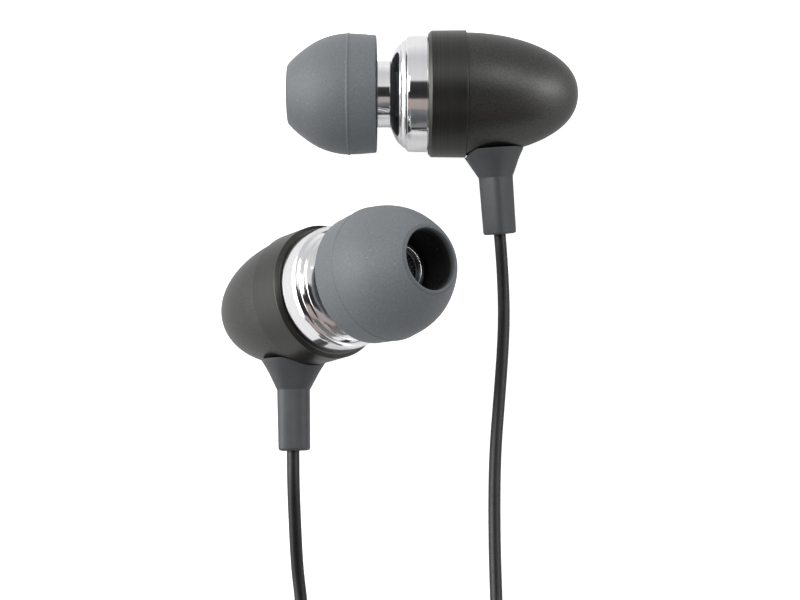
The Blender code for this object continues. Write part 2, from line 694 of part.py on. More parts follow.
def make_splitter():
    """Moulded Y splitter, wide where the two leads enter and round where the main cord leaves."""
    plan = (
        (0.00, 2.35, 1.30, 2.6),
        (0.35, 2.75, 1.70, 2.6),
        (6.50, 2.80, 1.78, 2.6),
        (10.50, 1.85, 1.75, 2.3),
        (13.60, 1.60, 1.60, 2.0),
        (14.00, 1.35, 1.35, 2.0),
    )
    sections = [
        (at * MM, superellipse(width * MM, height * MM, power, 20)) for at, width, height, power in plan
    ]
    splitter = add_part("y_splitter", lofted_mesh("y_splitter", sections), BLACK_COATED)
    splitter.location = (0.0, SPLITTER_FRONT, 1.80 * MM)
    splitter.rotation_euler = (math.pi / 2, 0.0, 0.0)


def plug_outline(points):
    """(radius, station) in millimetres, from the cord side on, as a profile that runs down from the tip."""
    return [(radius * MM, station * MM) for radius, station in reversed(points)]


def make_plug():
    """Straight stereo plug: ribbed boot, moulded grip, and three contacts split by two insulators."""
    frame = add_frame("plug", (PLUG_AXIS.x, PLUG_START, PLUG_AXIS.z), (-math.pi / 2, 0.0, 0.0))
    boot = [(0.0, 0.0), (1.45, 0.0)]
    rib_pitch, rib_count = 2.2, 4
    for rib in range(rib_count):
        start = 0.6 + rib * rib_pitch
        swell = 1.60 + 0.16 * rib
        groove = start + 1.5
        boot += [(swell, start), (swell + 0.08, groove - 0.2)]
        boot += [(swell - 0.25, groove), (swell - 0.22, groove + 0.5)]
    boot += [(2.40, 9.60), (2.55, 11.70), (0.0, 11.70)]
    turned("plug_boot", plug_outline(boot), INNER_STEPS, RELIEF_GREY, frame, closed=False)
    grip = [
        (0.0, 12.00), (2.60, 12.00), (2.95, 12.25), (3.15, 13.20), (3.20, 15.00), (3.20, 24.60),
        (3.10, 25.60), (2.85, 26.00), (2.00, 26.00), (2.00, 23.00), (0.0, 23.00),
    ]
    turned("plug_body", plug_outline(grip), OUTER_STEPS, BLACK_COATED, frame, closed=False)
    sleeve = [(0.0, 23.25), (1.75, 23.25), (1.75, 32.00), (0.0, 32.00)]
    turned("plug_sleeve", plug_outline(sleeve), INNER_STEPS, GILT, frame, closed=False)
    for name, start, end, radius, finish in (
        ("plug_rear_insulator", 32.15, 32.75, 1.66, CORD_BLACK),
        ("plug_ring_contact", 32.90, 35.30, 1.75, GILT),
        ("plug_front_insulator", 35.45, 36.05, 1.66, CORD_BLACK),
    ):
        band = [(radius, start), (radius, end), (0.75, end), (0.75, start)]
        turned(name, [(r * MM, at * MM) for r, at in reversed(band)], INNER_STEPS, finish, frame)
    tip = [
        (0.0, 32.20), (0.50, 32.20), (0.50, 36.20), (1.60, 36.20), (1.72, 36.50), (1.30, 37.10),
        (1.30, 37.60), (1.72, 38.30), (1.45, 39.20), (0.60, 40.00), (0.0, 40.10),
    ]
    turned("plug_tip_contact", plug_outline(tip), INNER_STEPS, GILT, frame, closed=False)


clear_scene()
PARTS = new_collection("wired_earphones")
CUTTERS = new_collection("cutters")
make_earpiece("right", RIGHT_SEAM, nozzle_rotation(RIGHT_HEADING, 0.0, RIGHT_ROLL))
make_earpiece("left", LEFT_SEAM, nozzle_rotation(LEFT_HEADING, LEFT_ELEVATION, LEFT_ROLL))
make_lead("right", RIGHT_RUN, RIGHT_TAIL)
make_lead("left", LEFT_RUN, mirrored(RIGHT_TAIL))
make_main_cord()
make_slider()
make_splitter()
make_plug()
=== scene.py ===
"""Looks of the wired earphones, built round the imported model.

Lengths are written in millimetres and turned to metres where a mesh is made. Each earpiece has its own frame:
local +Z runs out of its ear tip, z = 0 is the seam behind the collar, and the cable leaves by local -Y.
Stations along an earpiece count backwards from the front face of its ear tip.
"""

import json
import logging
import math
from collections.abc import Callable, Sequence
from dataclasses import dataclass
from enum import Enum

import bmesh
import bpy
import numpy as np
from mathutils import Matrix, Vector

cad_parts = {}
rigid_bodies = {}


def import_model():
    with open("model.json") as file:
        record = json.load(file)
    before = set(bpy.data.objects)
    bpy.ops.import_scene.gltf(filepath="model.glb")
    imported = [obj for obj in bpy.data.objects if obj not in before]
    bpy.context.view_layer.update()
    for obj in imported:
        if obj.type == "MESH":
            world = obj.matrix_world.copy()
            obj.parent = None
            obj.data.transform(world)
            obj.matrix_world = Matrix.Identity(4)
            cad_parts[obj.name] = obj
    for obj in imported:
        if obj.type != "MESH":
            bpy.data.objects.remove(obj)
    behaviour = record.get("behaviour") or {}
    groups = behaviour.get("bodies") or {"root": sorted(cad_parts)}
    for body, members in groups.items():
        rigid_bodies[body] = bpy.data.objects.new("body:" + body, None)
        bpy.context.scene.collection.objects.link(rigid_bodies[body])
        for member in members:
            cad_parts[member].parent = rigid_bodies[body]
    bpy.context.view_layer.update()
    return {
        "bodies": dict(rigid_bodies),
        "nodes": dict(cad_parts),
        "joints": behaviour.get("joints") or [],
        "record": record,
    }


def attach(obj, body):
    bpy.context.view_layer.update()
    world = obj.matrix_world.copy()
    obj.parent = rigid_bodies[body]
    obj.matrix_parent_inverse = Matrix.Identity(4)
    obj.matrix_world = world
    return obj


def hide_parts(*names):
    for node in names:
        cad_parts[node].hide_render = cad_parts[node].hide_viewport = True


LOG = logging.getLogger("earphones")
MM = 0.001
TURN = math.tau

Point = tuple[float, ...]
Section = tuple[tuple[float, float, float], ...]
Socket = tuple[bpy.types.Node, str | int]

# Where local z = 0 lies along an earpiece, in millimetres from the front of its tip.
SEAM_STATION = 17.88
# The sockets of a map range node, in the order in which its four numbers are written here.
SPAN = ("From Min", "From Max", "To Min", "To Max")
# The part of a noise's values that the two colours, and the least and most roughness, lie between.
PATCH_EDGES = (0.32, 0.68)
GRAIN_EDGES = (0.3, 0.7)
# Points closer than this are merged, in metres, and edges bent by more than this many degrees stay sharp.
MERGE_REACH = 1e-7
SHARP_EDGE = 42
CURVE_SAMPLES = 1200


class Body(Enum):
    """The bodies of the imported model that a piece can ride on."""

    SET = "earphones"
    LEFT_TIP = "left_tip"
    RIGHT_TIP = "right_tip"
    SLIDER = "slider"


class Side(Enum):
    """Which of the two earpieces a piece belongs to."""

    LEFT = "left"
    RIGHT = "right"

    @property
    def tip_body(self) -> Body:
        """The body that slides off with this side's ear tip."""
        return Body.RIGHT_TIP if self is Side.RIGHT else Body.LEFT_TIP


# Materials.


def linear(code: str) -> tuple[float, float, float, float]:
    """Turn an sRGB hex colour to linear light.

    Args:
        code: the colour as "#RRGGBB".

    Returns:
        Red, green, blue and an alpha of 1.
    """
    parts = (int(code[i : i + 2], 16) / 255 for i in (1, 3, 5))
    red, green, blue = (p / 12.92 if p <= 0.04045 else ((p + 0.055) / 1.055) ** 2.4 for p in parts)
    return (red, green, blue, 1.0)


def add_node(
    tree: bpy.types.NodeTree,
    kind: str,
    settings: dict[str | int, object] | None = None,
    links: dict[str | int, Socket] | None = None,
) -> bpy.types.Node:
    """Add a node with its settings and incoming links.

    Args:
        tree: the node tree to add to.
        kind: the node's type name.
        settings: properties by name, and constants of input sockets by name or number.
        links: for each input socket, the node and output that feed it.

    Returns:
        The new node.
    """
    node = tree.nodes.new(kind)
    for key, value in (settings or {}).items():
        if isinstance(key, str) and hasattr(node, key):
            setattr(node, key, value)
        else:
            node.inputs[key].default_value = value
    for key, (source, output) in (links or {}).items():
        tree.links.new(source.outputs[output], node.inputs[key])
    return node


def from_axis(tree: bpy.types.NodeTree, place: Socket) -> tuple[Socket, Socket]:
    """Measure a point by the piece's own axis.

    Args:
        tree: the material's nodes.
        place: the point.

    Returns:
        Its distance from the axis and its height along it.
    """
    split = add_node(tree, "ShaderNodeSeparateXYZ", links={"Vector": place})
    flat = add_node(tree, "ShaderNodeCombineXYZ", links={"X": (split, "X"), "Y": (split, "Y")})
    radius = add_node(tree, "ShaderNodeVectorMath", {"operation": "LENGTH"}, {0: (flat, "Vector")})
    return (radius, "Value"), (split, "Z")


@dataclass(frozen=True)
class Finish:
    """A surface with patches of two near colours, pale and deep, and a fine grain over them.

    The patch, and the spacing and height of the grain, are in millimetres. The slot is the record's.
    """

    name: str
    slot: str
    pale: str
    deep: str
    patch: float
    roughness: tuple[float, float]
    grain: float
    height: float
    metallic: float = 0.0
    ior: float = 1.5
    sheen: float = 0.0
    sheen_roughness: float = 0.5
    coat: float = 0.0
    coat_roughness: float = 0.1

    def material(self) -> bpy.types.Material:
        """Return this finish's material, building it the first time."""
        return bpy.data.materials.get(self.name) or self.build()

    def place(self, tree: bpy.types.NodeTree) -> Socket:
        """The coordinates that the patterns follow: the piece's own, in metres."""
        return (add_node(tree, "ShaderNodeTexCoord"), "Object")

    def colour(self, tree: bpy.types.NodeTree, place: Socket, patches: Socket) -> Socket:
        """Mix the two colours by the patches.

        Args:
            tree: the material's nodes.
            place: the pattern's coordinates.
            patches: a value from 0 to 1 over the surface.

        Returns:
            The colour socket.
        """
        ramp = add_node(tree, "ShaderNodeValToRGB", links={"Fac": patches})
        low, high = ramp.color_ramp.elements
        low.position, high.position = PATCH_EDGES
        low.color, high.color = linear(self.deep), linear(self.pale)
        return (ramp, "Color")

    def relief(self, tree: bpy.types.NodeTree, place: Socket) -> Socket:
        """The height of the grain, from 0 to 1."""
        settings = {"Scale": 1 / (self.grain * MM), "Detail": 3.0, "Roughness": 0.55}
        return (add_node(tree, "ShaderNodeTexNoise", settings, {"Vector": place}), 0)

    def build(self) -> bpy.types.Material:
        """Build the material's nodes.

        Returns:
            The new material.
        """
        made = bpy.data.materials.new(self.name)
        made.use_nodes = True
        tree = made.node_tree
        tree.nodes.clear()
        place = self.place(tree)
        settings = {"Scale": 1 / (self.patch * MM), "Detail": 4.0}
        patches = add_node(tree, "ShaderNodeTexNoise", settings, {"Vector": place})
        grain = self.relief(tree, place)
        settings = dict(zip(SPAN, (*GRAIN_EDGES, *self.roughness)))
        rough = add_node(tree, "ShaderNodeMapRange", settings, {"Value": grain})
        settings = {"Strength": 1.0, "Distance": self.height * MM}
        bump = add_node(tree, "ShaderNodeBump", settings, {"Height": grain})
        settings = {
            "Metallic": self.metallic,
            "IOR": self.ior,
            "Sheen Weight": self.sheen,
            "Sheen Roughness": self.sheen_roughness,
            "Coat Weight": self.coat,
            "Coat Roughness": self.coat_roughness,
        }
        colour = self.colour(tree, place, (patches, 0))
        links = {"Base Color": colour, "Roughness": (rough, "Result"), "Normal": (bump, "Normal")}
        shader = add_node(tree, "ShaderNodeBsdfPrincipled", settings, links)
        add_node(tree, "ShaderNodeOutputMaterial", links={"Surface": (shader, "BSDF")})
        return made


@dataclass(frozen=True)
class DustedSiliconeWithBoreShade(Finish):
    """Moulded silicone, whose matte skin holds a few pale specks of dust, with painted shade darkening it
    inside the bore.

    The painted shade lies within bore_radius. It starts at the first depth of its fade behind the tip's
    front, and is at its darkest at the second.
    """

    speck: float = 0.06
    apart: float = 0.8
    dust: str = "#D8DADB"
    dust_share: float = 0.45
    # bore is the colour of the painted shade in the bore, not a colour of the silicone.
    bore: str = "#0B0B0C"
    bore_radius: float = 3.10
    bore_shade_depths: tuple[float, float] = (0.05, 0.85)

    def colour(self, tree: bpy.types.NodeTree, place: Socket, patches: Socket) -> Socket:
        """Lay the specks over the mottled grey, which painted shade turns dark in the bore."""
        radius, height = from_axis(tree, place)
        settings = {"operation": "LESS_THAN", 1: self.bore_radius * MM}
        within = add_node(tree, "ShaderNodeMath", settings, {0: radius})
        start, whole = ((SEAM_STATION - depth) * MM for depth in self.bore_shade_depths)
        settings = dict(zip(SPAN, (start, whole, 0.0, 1.0)))
        inside = add_node(tree, "ShaderNodeMapRange", settings, {"Value": height})
        # Painted shade: the grey is mixed towards the bore colour, more the deeper inside the bore.
        links = {0: (within, 0), 1: (inside, "Result")}
        shade = add_node(tree, "ShaderNodeMath", {"operation": "MULTIPLY"}, links)
        settings = {"data_type": "RGBA", 7: linear(self.bore)}
        links = {0: (shade, 0), 6: super().colour(tree, place, patches)}
        grey = add_node(tree, "ShaderNodeMix", settings, links)
        cells = add_node(tree, "ShaderNodeTexVoronoi", {"Scale": 1 / (self.apart * MM)}, {"Vector": place})
        edge = self.speck / self.apart
        settings = dict(zip(SPAN, (edge, 0.4 * edge, 0.0, self.dust_share)))
        dots = add_node(tree, "ShaderNodeMapRange", settings, {"Value": (cells, "Distance")})
        settings = {"data_type": "RGBA", 7: linear(self.dust)}
        return (add_node(tree, "ShaderNodeMix", settings, {0: (dots, "Result"), 6: (grey, 2)}), 2)


@dataclass(frozen=True)
class TurnedMetal(Finish):
    """Metal cut on a lathe, whose marks run round the piece's own axis."""

    def place(self, tree: bpy.types.NodeTree) -> Socket:
        """Radius and height only, so that every mark closes into a ring."""
        radius, height = from_axis(tree, super().place(tree))
        return (add_node(tree, "ShaderNodeCombineXYZ", links={"X": radius, "Z": height}), "Vector")


@dataclass(frozen=True)
class OpenCells(Finish):
    """Foam or film with rounded cells in place of grain."""

    def relief(self, tree: bpy.types.NodeTree, place: Socket) -> Socket:
        """The height of the cell walls, from 0 to 1."""
        cells = add_node(tree, "ShaderNodeTexVoronoi", {"Scale": 1 / (self.grain * MM)}, {"Vector": place})
        return (cells, "Distance")


# Grey silicone, moulded in a spark-eroded tool: a dull, even skin that lightens a little towards its edges.
# The tool's texture is about 0.02 mm across and is drawn at 0.16 mm, so that it shows.
# Inside the bore its colour is darkened with painted shade that deepens with depth.
TIP_SILICONE_WITH_BORE_SHADE = DustedSiliconeWithBoreShade(
    "grey_moulded_silicone_with_painted_bore_shade", "ear_tip_silicone", "#7D8286", "#707579", 0.15, (0.50, 0.60), 0.16, 0.0042,
    ior=1.41, sheen=0.10, sheen_roughness=0.45,
)
# Turned brass under bright chrome plating: mirror bands along the axis, softened by the plating.
# Feed marks of about 0.05 mm are drawn at 0.12 mm.
CHROME = TurnedMetal(
    "chrome_plated_turned_brass", "polished_metal", "#F0F0F1", "#E9E9EB", 0.5, (0.08, 0.12), 0.12, 0.00008,
    metallic=1.0,
)
# Drawn stainless wire, woven plain: small bright glints over dark holes. Its colour is painted darker than
# bare stainless, as painted shade deep in the nozzle.
STEEL_WIRE_WITH_PAINTED_SHADE = Finish(
    "woven_stainless_wire_with_painted_shade", "nozzle_mesh", "#5A5B5D", "#47484A", 0.4, (0.28, 0.42), 0.05, 0.0005, metallic=1.0
)
# Aluminium shell, bead blasted and black anodised: a soft broad sheen with a fine sandy grain.
# The beads leave pits near 0.05 mm, drawn at 0.14 mm.
SHELL_BLACK = Finish(
    "bead_blasted_black_anodised_aluminium", "black_shell", "#515150", "#444443", 0.16, (0.37, 0.45),
    0.14, 0.0030, metallic=1.0,
)
# The collar is the same aluminium, turned smooth before it was anodised, so it holds tighter highlights.
COLLAR_BLACK = TurnedMetal(
    "turned_black_anodised_aluminium", "black_collar", "#494947", "#41413F", 0.15, (0.33, 0.40),
    0.12, 0.0006, metallic=1.0,
)
# Thermoplastic rubber, moulded: greyer and duller than the shell, with a faint flow mottle.
RELIEF_RUBBER = Finish(
    "grey_moulded_thermoplastic_rubber", "relief_rubber", "#4E5052", "#484A4C", 1.4, (0.48, 0.60),
    0.15, 0.0015, ior=1.48, sheen=0.05,
)
# Extruded PVC jacket over a twisted core: a lengthwise sheen that wavers a little. PVC's own IOR of 1.53
# looked too bright along the edges, so it is lowered.
CORD_JACKET = Finish(
    "black_extruded_pvc", "cord_jacket", "#0B0B0C", "#080809", 2.2, (0.40, 0.50), 0.55, 0.0060, ior=1.42
)
# Textured ABS mouldings of the slider, the splitter and the plug's grip.
MOULDED_BLACK = Finish(
    "black_textured_abs", "moulded_black", "#1E1E1F", "#18181A", 1.5, (0.42, 0.55), 0.18, 0.0030
)
# Hard gold flash over nickel, turned before it was plated.
GILT = TurnedMetal(
    "gold_flashed_turned_brass", "contact_gilt", "#E3BE6B", "#D6AD58", 0.6, (0.12, 0.20), 0.15, 0.0002,
    metallic=1.0,
)
# Injection-moulded insulating rings, glossy from a polished tool.
INSULATOR = Finish(
    "black_moulded_insulator", "insulator", "#141415", "#101011", 0.8, (0.18, 0.26), 0.20, 0.0008
)
# Pressed and zinc-plated steel of the driver's basket, yoke and magnet.
DRIVER_STEEL = Finish(
    "pressed_zinc_plated_steel", "driver_steel", "#A6A8AB", "#8C8F93", 0.7, (0.28, 0.42), 0.12, 0.0010,
    metallic=1.0,
)
# Formed polyester film of the diaphragm.
DRIVER_FILM = OpenCells(
    "formed_polyester_film", "driver_film", "#C9CBC6", "#B9BBB5", 1.0, (0.12, 0.20), 0.45, 0.0040, coat=0.3
)
# Enamelled copper wire, wound side by side: turns of about 0.05 mm, drawn at 0.10 mm.
COIL_WIRE = TurnedMetal(
    "enamelled_copper_winding", "coil_copper", "#C0703F", "#9C5529", 0.5, (0.22, 0.34), 0.10, 0.0040,
    metallic=1.0,
)
# Epoxy glass board under green solder resist.
BOARD_RESIST = Finish(
    "green_solder_resist", "board", "#1F6B3E", "#195A33", 0.9, (0.26, 0.36), 0.30, 0.0030, coat=0.5
)
# Open-cell polyurethane foam.
DAMPING_FOAM = OpenCells(
    "open_cell_polyurethane_foam", "foam", "#3A3A3B", "#242425", 0.5, (0.85, 0.95), 0.22, 0.0300
)


# Meshes.


@dataclass(frozen=True)
class Corner:
    """A corner of a section: radius and station in millimetres, and the radius that eases it."""

    radius: float
    station: float
    easing: float = 0.0


def corners_of(section: Sequence[Point]) -> list[Corner]:
    """The corners that rows of radius, station and easing stand for."""
    return [Corner(*row) for row in section]


def eased(corners: Sequence[Corner], closed: bool, steps: int = 4) -> np.ndarray:
    """Replace each corner that has an easing by an arc.

    Args:
        corners: the section's corners in order.
        closed: whether the last corner joins the first.
        steps: the number of chords in an arc.

    Returns:
        Rows of (radius, station), in millimetres.
    """
    made: list[tuple[float, float]] = []
    count = len(corners)
    for i, corner in enumerate(corners):
        here = np.array((corner.radius, corner.station))
        at_end = not closed and i in (0, count - 1)
        if corner.easing <= 0 or at_end:
            made.append(tuple(here))
            continue
        before, after = corners[i - 1], corners[(i + 1) % count]
        back = np.array((before.radius, before.station)) - here
        ahead = np.array((after.radius, after.station)) - here
        back_length, ahead_length = np.linalg.norm(back), np.linalg.norm(ahead)
        back, ahead = back / back_length, ahead / ahead_length
        half = math.acos(float(np.clip(back @ ahead, -1.0, 1.0))) / 2
        reach = min(corner.easing / math.tan(half), 0.49 * back_length, 0.49 * ahead_length)
        radius = reach * math.tan(half)
        middle = (back + ahead) / np.linalg.norm(back + ahead)
        centre = here + middle * radius / math.sin(half)
        start, end = here + back * reach - centre, here + ahead * reach - centre
        opening = math.pi - 2 * half
        for step in range(steps + 1):
            share = step / steps
            lead = math.sin((1 - share) * opening) / math.sin(opening)
            follow = math.sin(share * opening) / math.sin(opening)
            made.append(tuple(centre + start * lead + end * follow))
    return np.array(made)


def smooth_line(route: Sequence[Point], spacing: float) -> np.ndarray:
    """Evenly spaced points on the natural cubic curve through a route.

    Args:
        route: the points to pass through, in any unit and in two or three dimensions.
        spacing: the distance wanted between points, in the same unit.

    Returns:
        The points as rows.
    """
    knots = np.array(route, dtype=float)
    steps = np.linalg.norm(np.diff(knots, axis=0), axis=1)
    at = np.concatenate([[0.0], np.cumsum(steps)])
    count = len(knots)
    system, target = np.eye(count), np.zeros_like(knots)
    slopes = np.diff(knots, axis=0) / steps[:, None]
    for i in range(1, count - 1):
        system[i, i - 1 : i + 2] = (steps[i - 1], 2 * (steps[i - 1] + steps[i]), steps[i])
        target[i] = 6 * (slopes[i] - slopes[i - 1])
    bends = np.linalg.solve(system, target)
    where = np.linspace(0.0, at[-1], CURVE_SAMPLES)
    i = np.clip(np.searchsorted(at, where, side="right") - 1, 0, count - 2)
    t, h = (where - at[i])[:, None], steps[i][:, None]
    rise = slopes[i] - h * (2 * bends[i] + bends[i + 1]) / 6
    fine = knots[i] + rise * t + bends[i] * t**2 / 2 + (bends[i + 1] - bends[i]) * t**3 / (6 * h)
    run = np.concatenate([[0.0], np.cumsum(np.linalg.norm(np.diff(fine, axis=0), axis=1))])
    even = np.linspace(0.0, run[-1], max(2, round(run[-1] / spacing)) + 1)
    return np.stack([np.interp(even, run, fine[:, axis]) for axis in range(knots.shape[1])], axis=1)


def curve_corners(route: Sequence[Point], spacing: float) -> list[Corner]:
    """The corners of a smooth stretch of a section through (radius, station) points."""
    return [Corner(float(r), float(s)) for r, s in smooth_line(route, spacing)]


def skin(name: str, columns: np.ndarray, closed: bool) -> bpy.types.Mesh:
    """Quads between neighbouring columns of points, all the way round.

    Args:
        name: the mesh's name.
        columns: an array of columns, points and coordinates, in millimetres.
        closed: whether each column joins its own start.

    Returns:
        The mesh, in metres, with its doubled points merged.
    """
    count, length = columns.shape[:2]
    lines, rows = np.arange(count), np.arange(length if closed else length - 1)
    this, below = lines[:, None] * length, rows[None, :]
    right, above = ((lines + 1) % count)[:, None] * length, (rows[None, :] + 1) % length
    faces = np.stack([this + below, right + below, right + above, this + above], axis=-1).reshape(-1, 4)
    mesh = bpy.data.meshes.new(name)
    mesh.from_pydata((columns.reshape(-1, 3) * MM).tolist(), [], faces.tolist())
    return tidied(mesh)


def tidied(mesh: bpy.types.Mesh) -> bpy.types.Mesh:
    """Merge doubled points, turn every face outwards and shade all but the sharp edges smooth."""
    shape = bmesh.new()
    shape.from_mesh(mesh)
    bmesh.ops.remove_doubles(shape, verts=shape.verts, dist=MERGE_REACH)
    bmesh.ops.dissolve_degenerate(shape, edges=shape.edges, dist=MERGE_REACH)
    bmesh.ops.recalc_face_normals(shape, faces=shape.faces)
    shape.to_mesh(mesh)
    shape.free()
    mesh.shade_smooth()
    mesh.set_sharp_from_angle(angle=math.radians(SHARP_EDGE))
    return mesh


def lathed(
    name: str,
    corners: Sequence[Corner],
    height: Callable[[np.ndarray], np.ndarray],
    closed: bool = True,
    sides: int = 160,
) -> bpy.types.Mesh:
    """Turn a section about the local Z axis.

    Args:
        name: the mesh's name.
        corners: the section's corners.
        height: turns stations to local z, in millimetres.
        closed: whether the section is a closed ring. An open one starts and ends on the axis.
        sides: the number of sides.

    Returns:
        The mesh, in metres.
    """
    line = eased(corners, closed)
    angles = (np.arange(sides) * TURN / sides)[:, None]
    radius, up = line[:, 0], height(line[:, 1])
    round_it = [np.cos(angles) * radius, np.sin(angles) * radius, np.broadcast_to(up, (sides, len(up)))]
    return skin(name, np.stack(round_it, axis=-1), closed)


def placed(x: float, y: float, z: float, turn: float = 0.0) -> Matrix:
    """A frame at a point in millimetres, turned about X by that many degrees."""
    return Matrix.Translation(Vector((x, y, z)) * MM) @ Matrix.Rotation(math.radians(turn), 4, "X")


def in_scene(name: str, data: bpy.types.ID) -> bpy.types.Object:
    """A new object of that data, in the scene."""
    thing = bpy.data.objects.new(name, data)
    bpy.context.scene.collection.objects.link(thing)
    return thing


def section_radius(half: float, power: float, angle: np.ndarray | float) -> np.ndarray | float:
    """Distance from the axis to a rounded square of that half width, at an angle from its flat."""
    c, s = np.abs(np.cos(angle)), np.abs(np.sin(angle))
    return half / (c**power + s**power) ** (1 / power)


def strands(name: str, lines: Sequence[np.ndarray], diameter: float, sides: int) -> bpy.types.Curve:
    """Round strands along lines of points.

    Args:
        name: the curve's name.
        lines: for each strand, its centreline in millimetres.
        diameter: the strands' diameter in millimetres.
        sides: half the number of sides beyond four.

    Returns:
        The curve, in metres.
    """
    curve = bpy.data.curves.new(name, "CURVE")
    curve.dimensions = "3D"
    curve.bevel_depth = diameter * MM / 2
    curve.bevel_resolution = sides
    curve.use_fill_caps = True
    for line in lines:
        spline = curve.splines.new("POLY")
        spline.points.add(len(line) - 1)
        spline.points.foreach_set("co", np.column_stack([line * MM, np.ones(len(line))]).ravel())
        spline.use_smooth = True
    return curve


@dataclass
class SubAssembly:
    """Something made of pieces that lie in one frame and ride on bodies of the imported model."""

    def show(
        self, name: str, shape: bpy.types.Mesh | bpy.types.Curve, finish: Finish, body: Body,
        nodes: Sequence[str] = (), place: Matrix | None = None,
    ) -> bpy.types.Object:
        """Put a piece in the scene, dress it and let it ride.

        Args:
            name: the piece's name.
            shape: its mesh or curve.
            finish: what it is made of.
            body: the body it rides on.
            nodes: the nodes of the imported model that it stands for.
            place: the frame its shape is drawn in.

        Returns:
            The piece.
        """
        piece = in_scene(f"fine_{name}" if nodes else name, shape)
        piece.matrix_world = place or Matrix.Identity(4)
        shape.materials.append(finish.material())
        if piece.type == "MESH":
            piece.modifiers.new("even_normals", "WEIGHTED_NORMAL").keep_sharp = True
        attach(piece, body.value)
        if nodes:
            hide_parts(*nodes)
        LOG.info("%s: %s, riding on %s", name, finish.name, body.value)
        return piece

    def carved(self, mesh: bpy.types.Mesh, cutters: Sequence[bpy.types.Mesh]) -> bpy.types.Mesh:
        """Cut shapes out of a mesh.

        Args:
            mesh: the mesh to cut, in its own frame.
            cutters: closed meshes in the same frame, which are used up.

        Returns:
            A new mesh.
        """
        blank = in_scene("blank", mesh)
        tools = [in_scene("cutter", cutter) for cutter in cutters]
        for tool in tools:
            cut = blank.modifiers.new("cut", "BOOLEAN")
            cut.operation, cut.solver, cut.object = "DIFFERENCE", "EXACT", tool
        graph = bpy.context.evaluated_depsgraph_get()
        made = bpy.data.meshes.new_from_object(blank.evaluated_get(graph))
        for thing in (blank, *tools):
            bpy.data.objects.remove(thing)
        return tidied(made)


# Camera, light and floor.


@dataclass(frozen=True)
class Softbox:
    """A soft lamp that only draws highlights, placed by its angles from the camera's line of sight.

    It hangs right degrees towards +X and up degrees towards the top of the view, at a distance in metres. Its
    width and height are in metres and its power in watts.
    """

    name: str
    right: float
    up: float
    distance: float
    width: float
    height: float
    power: float


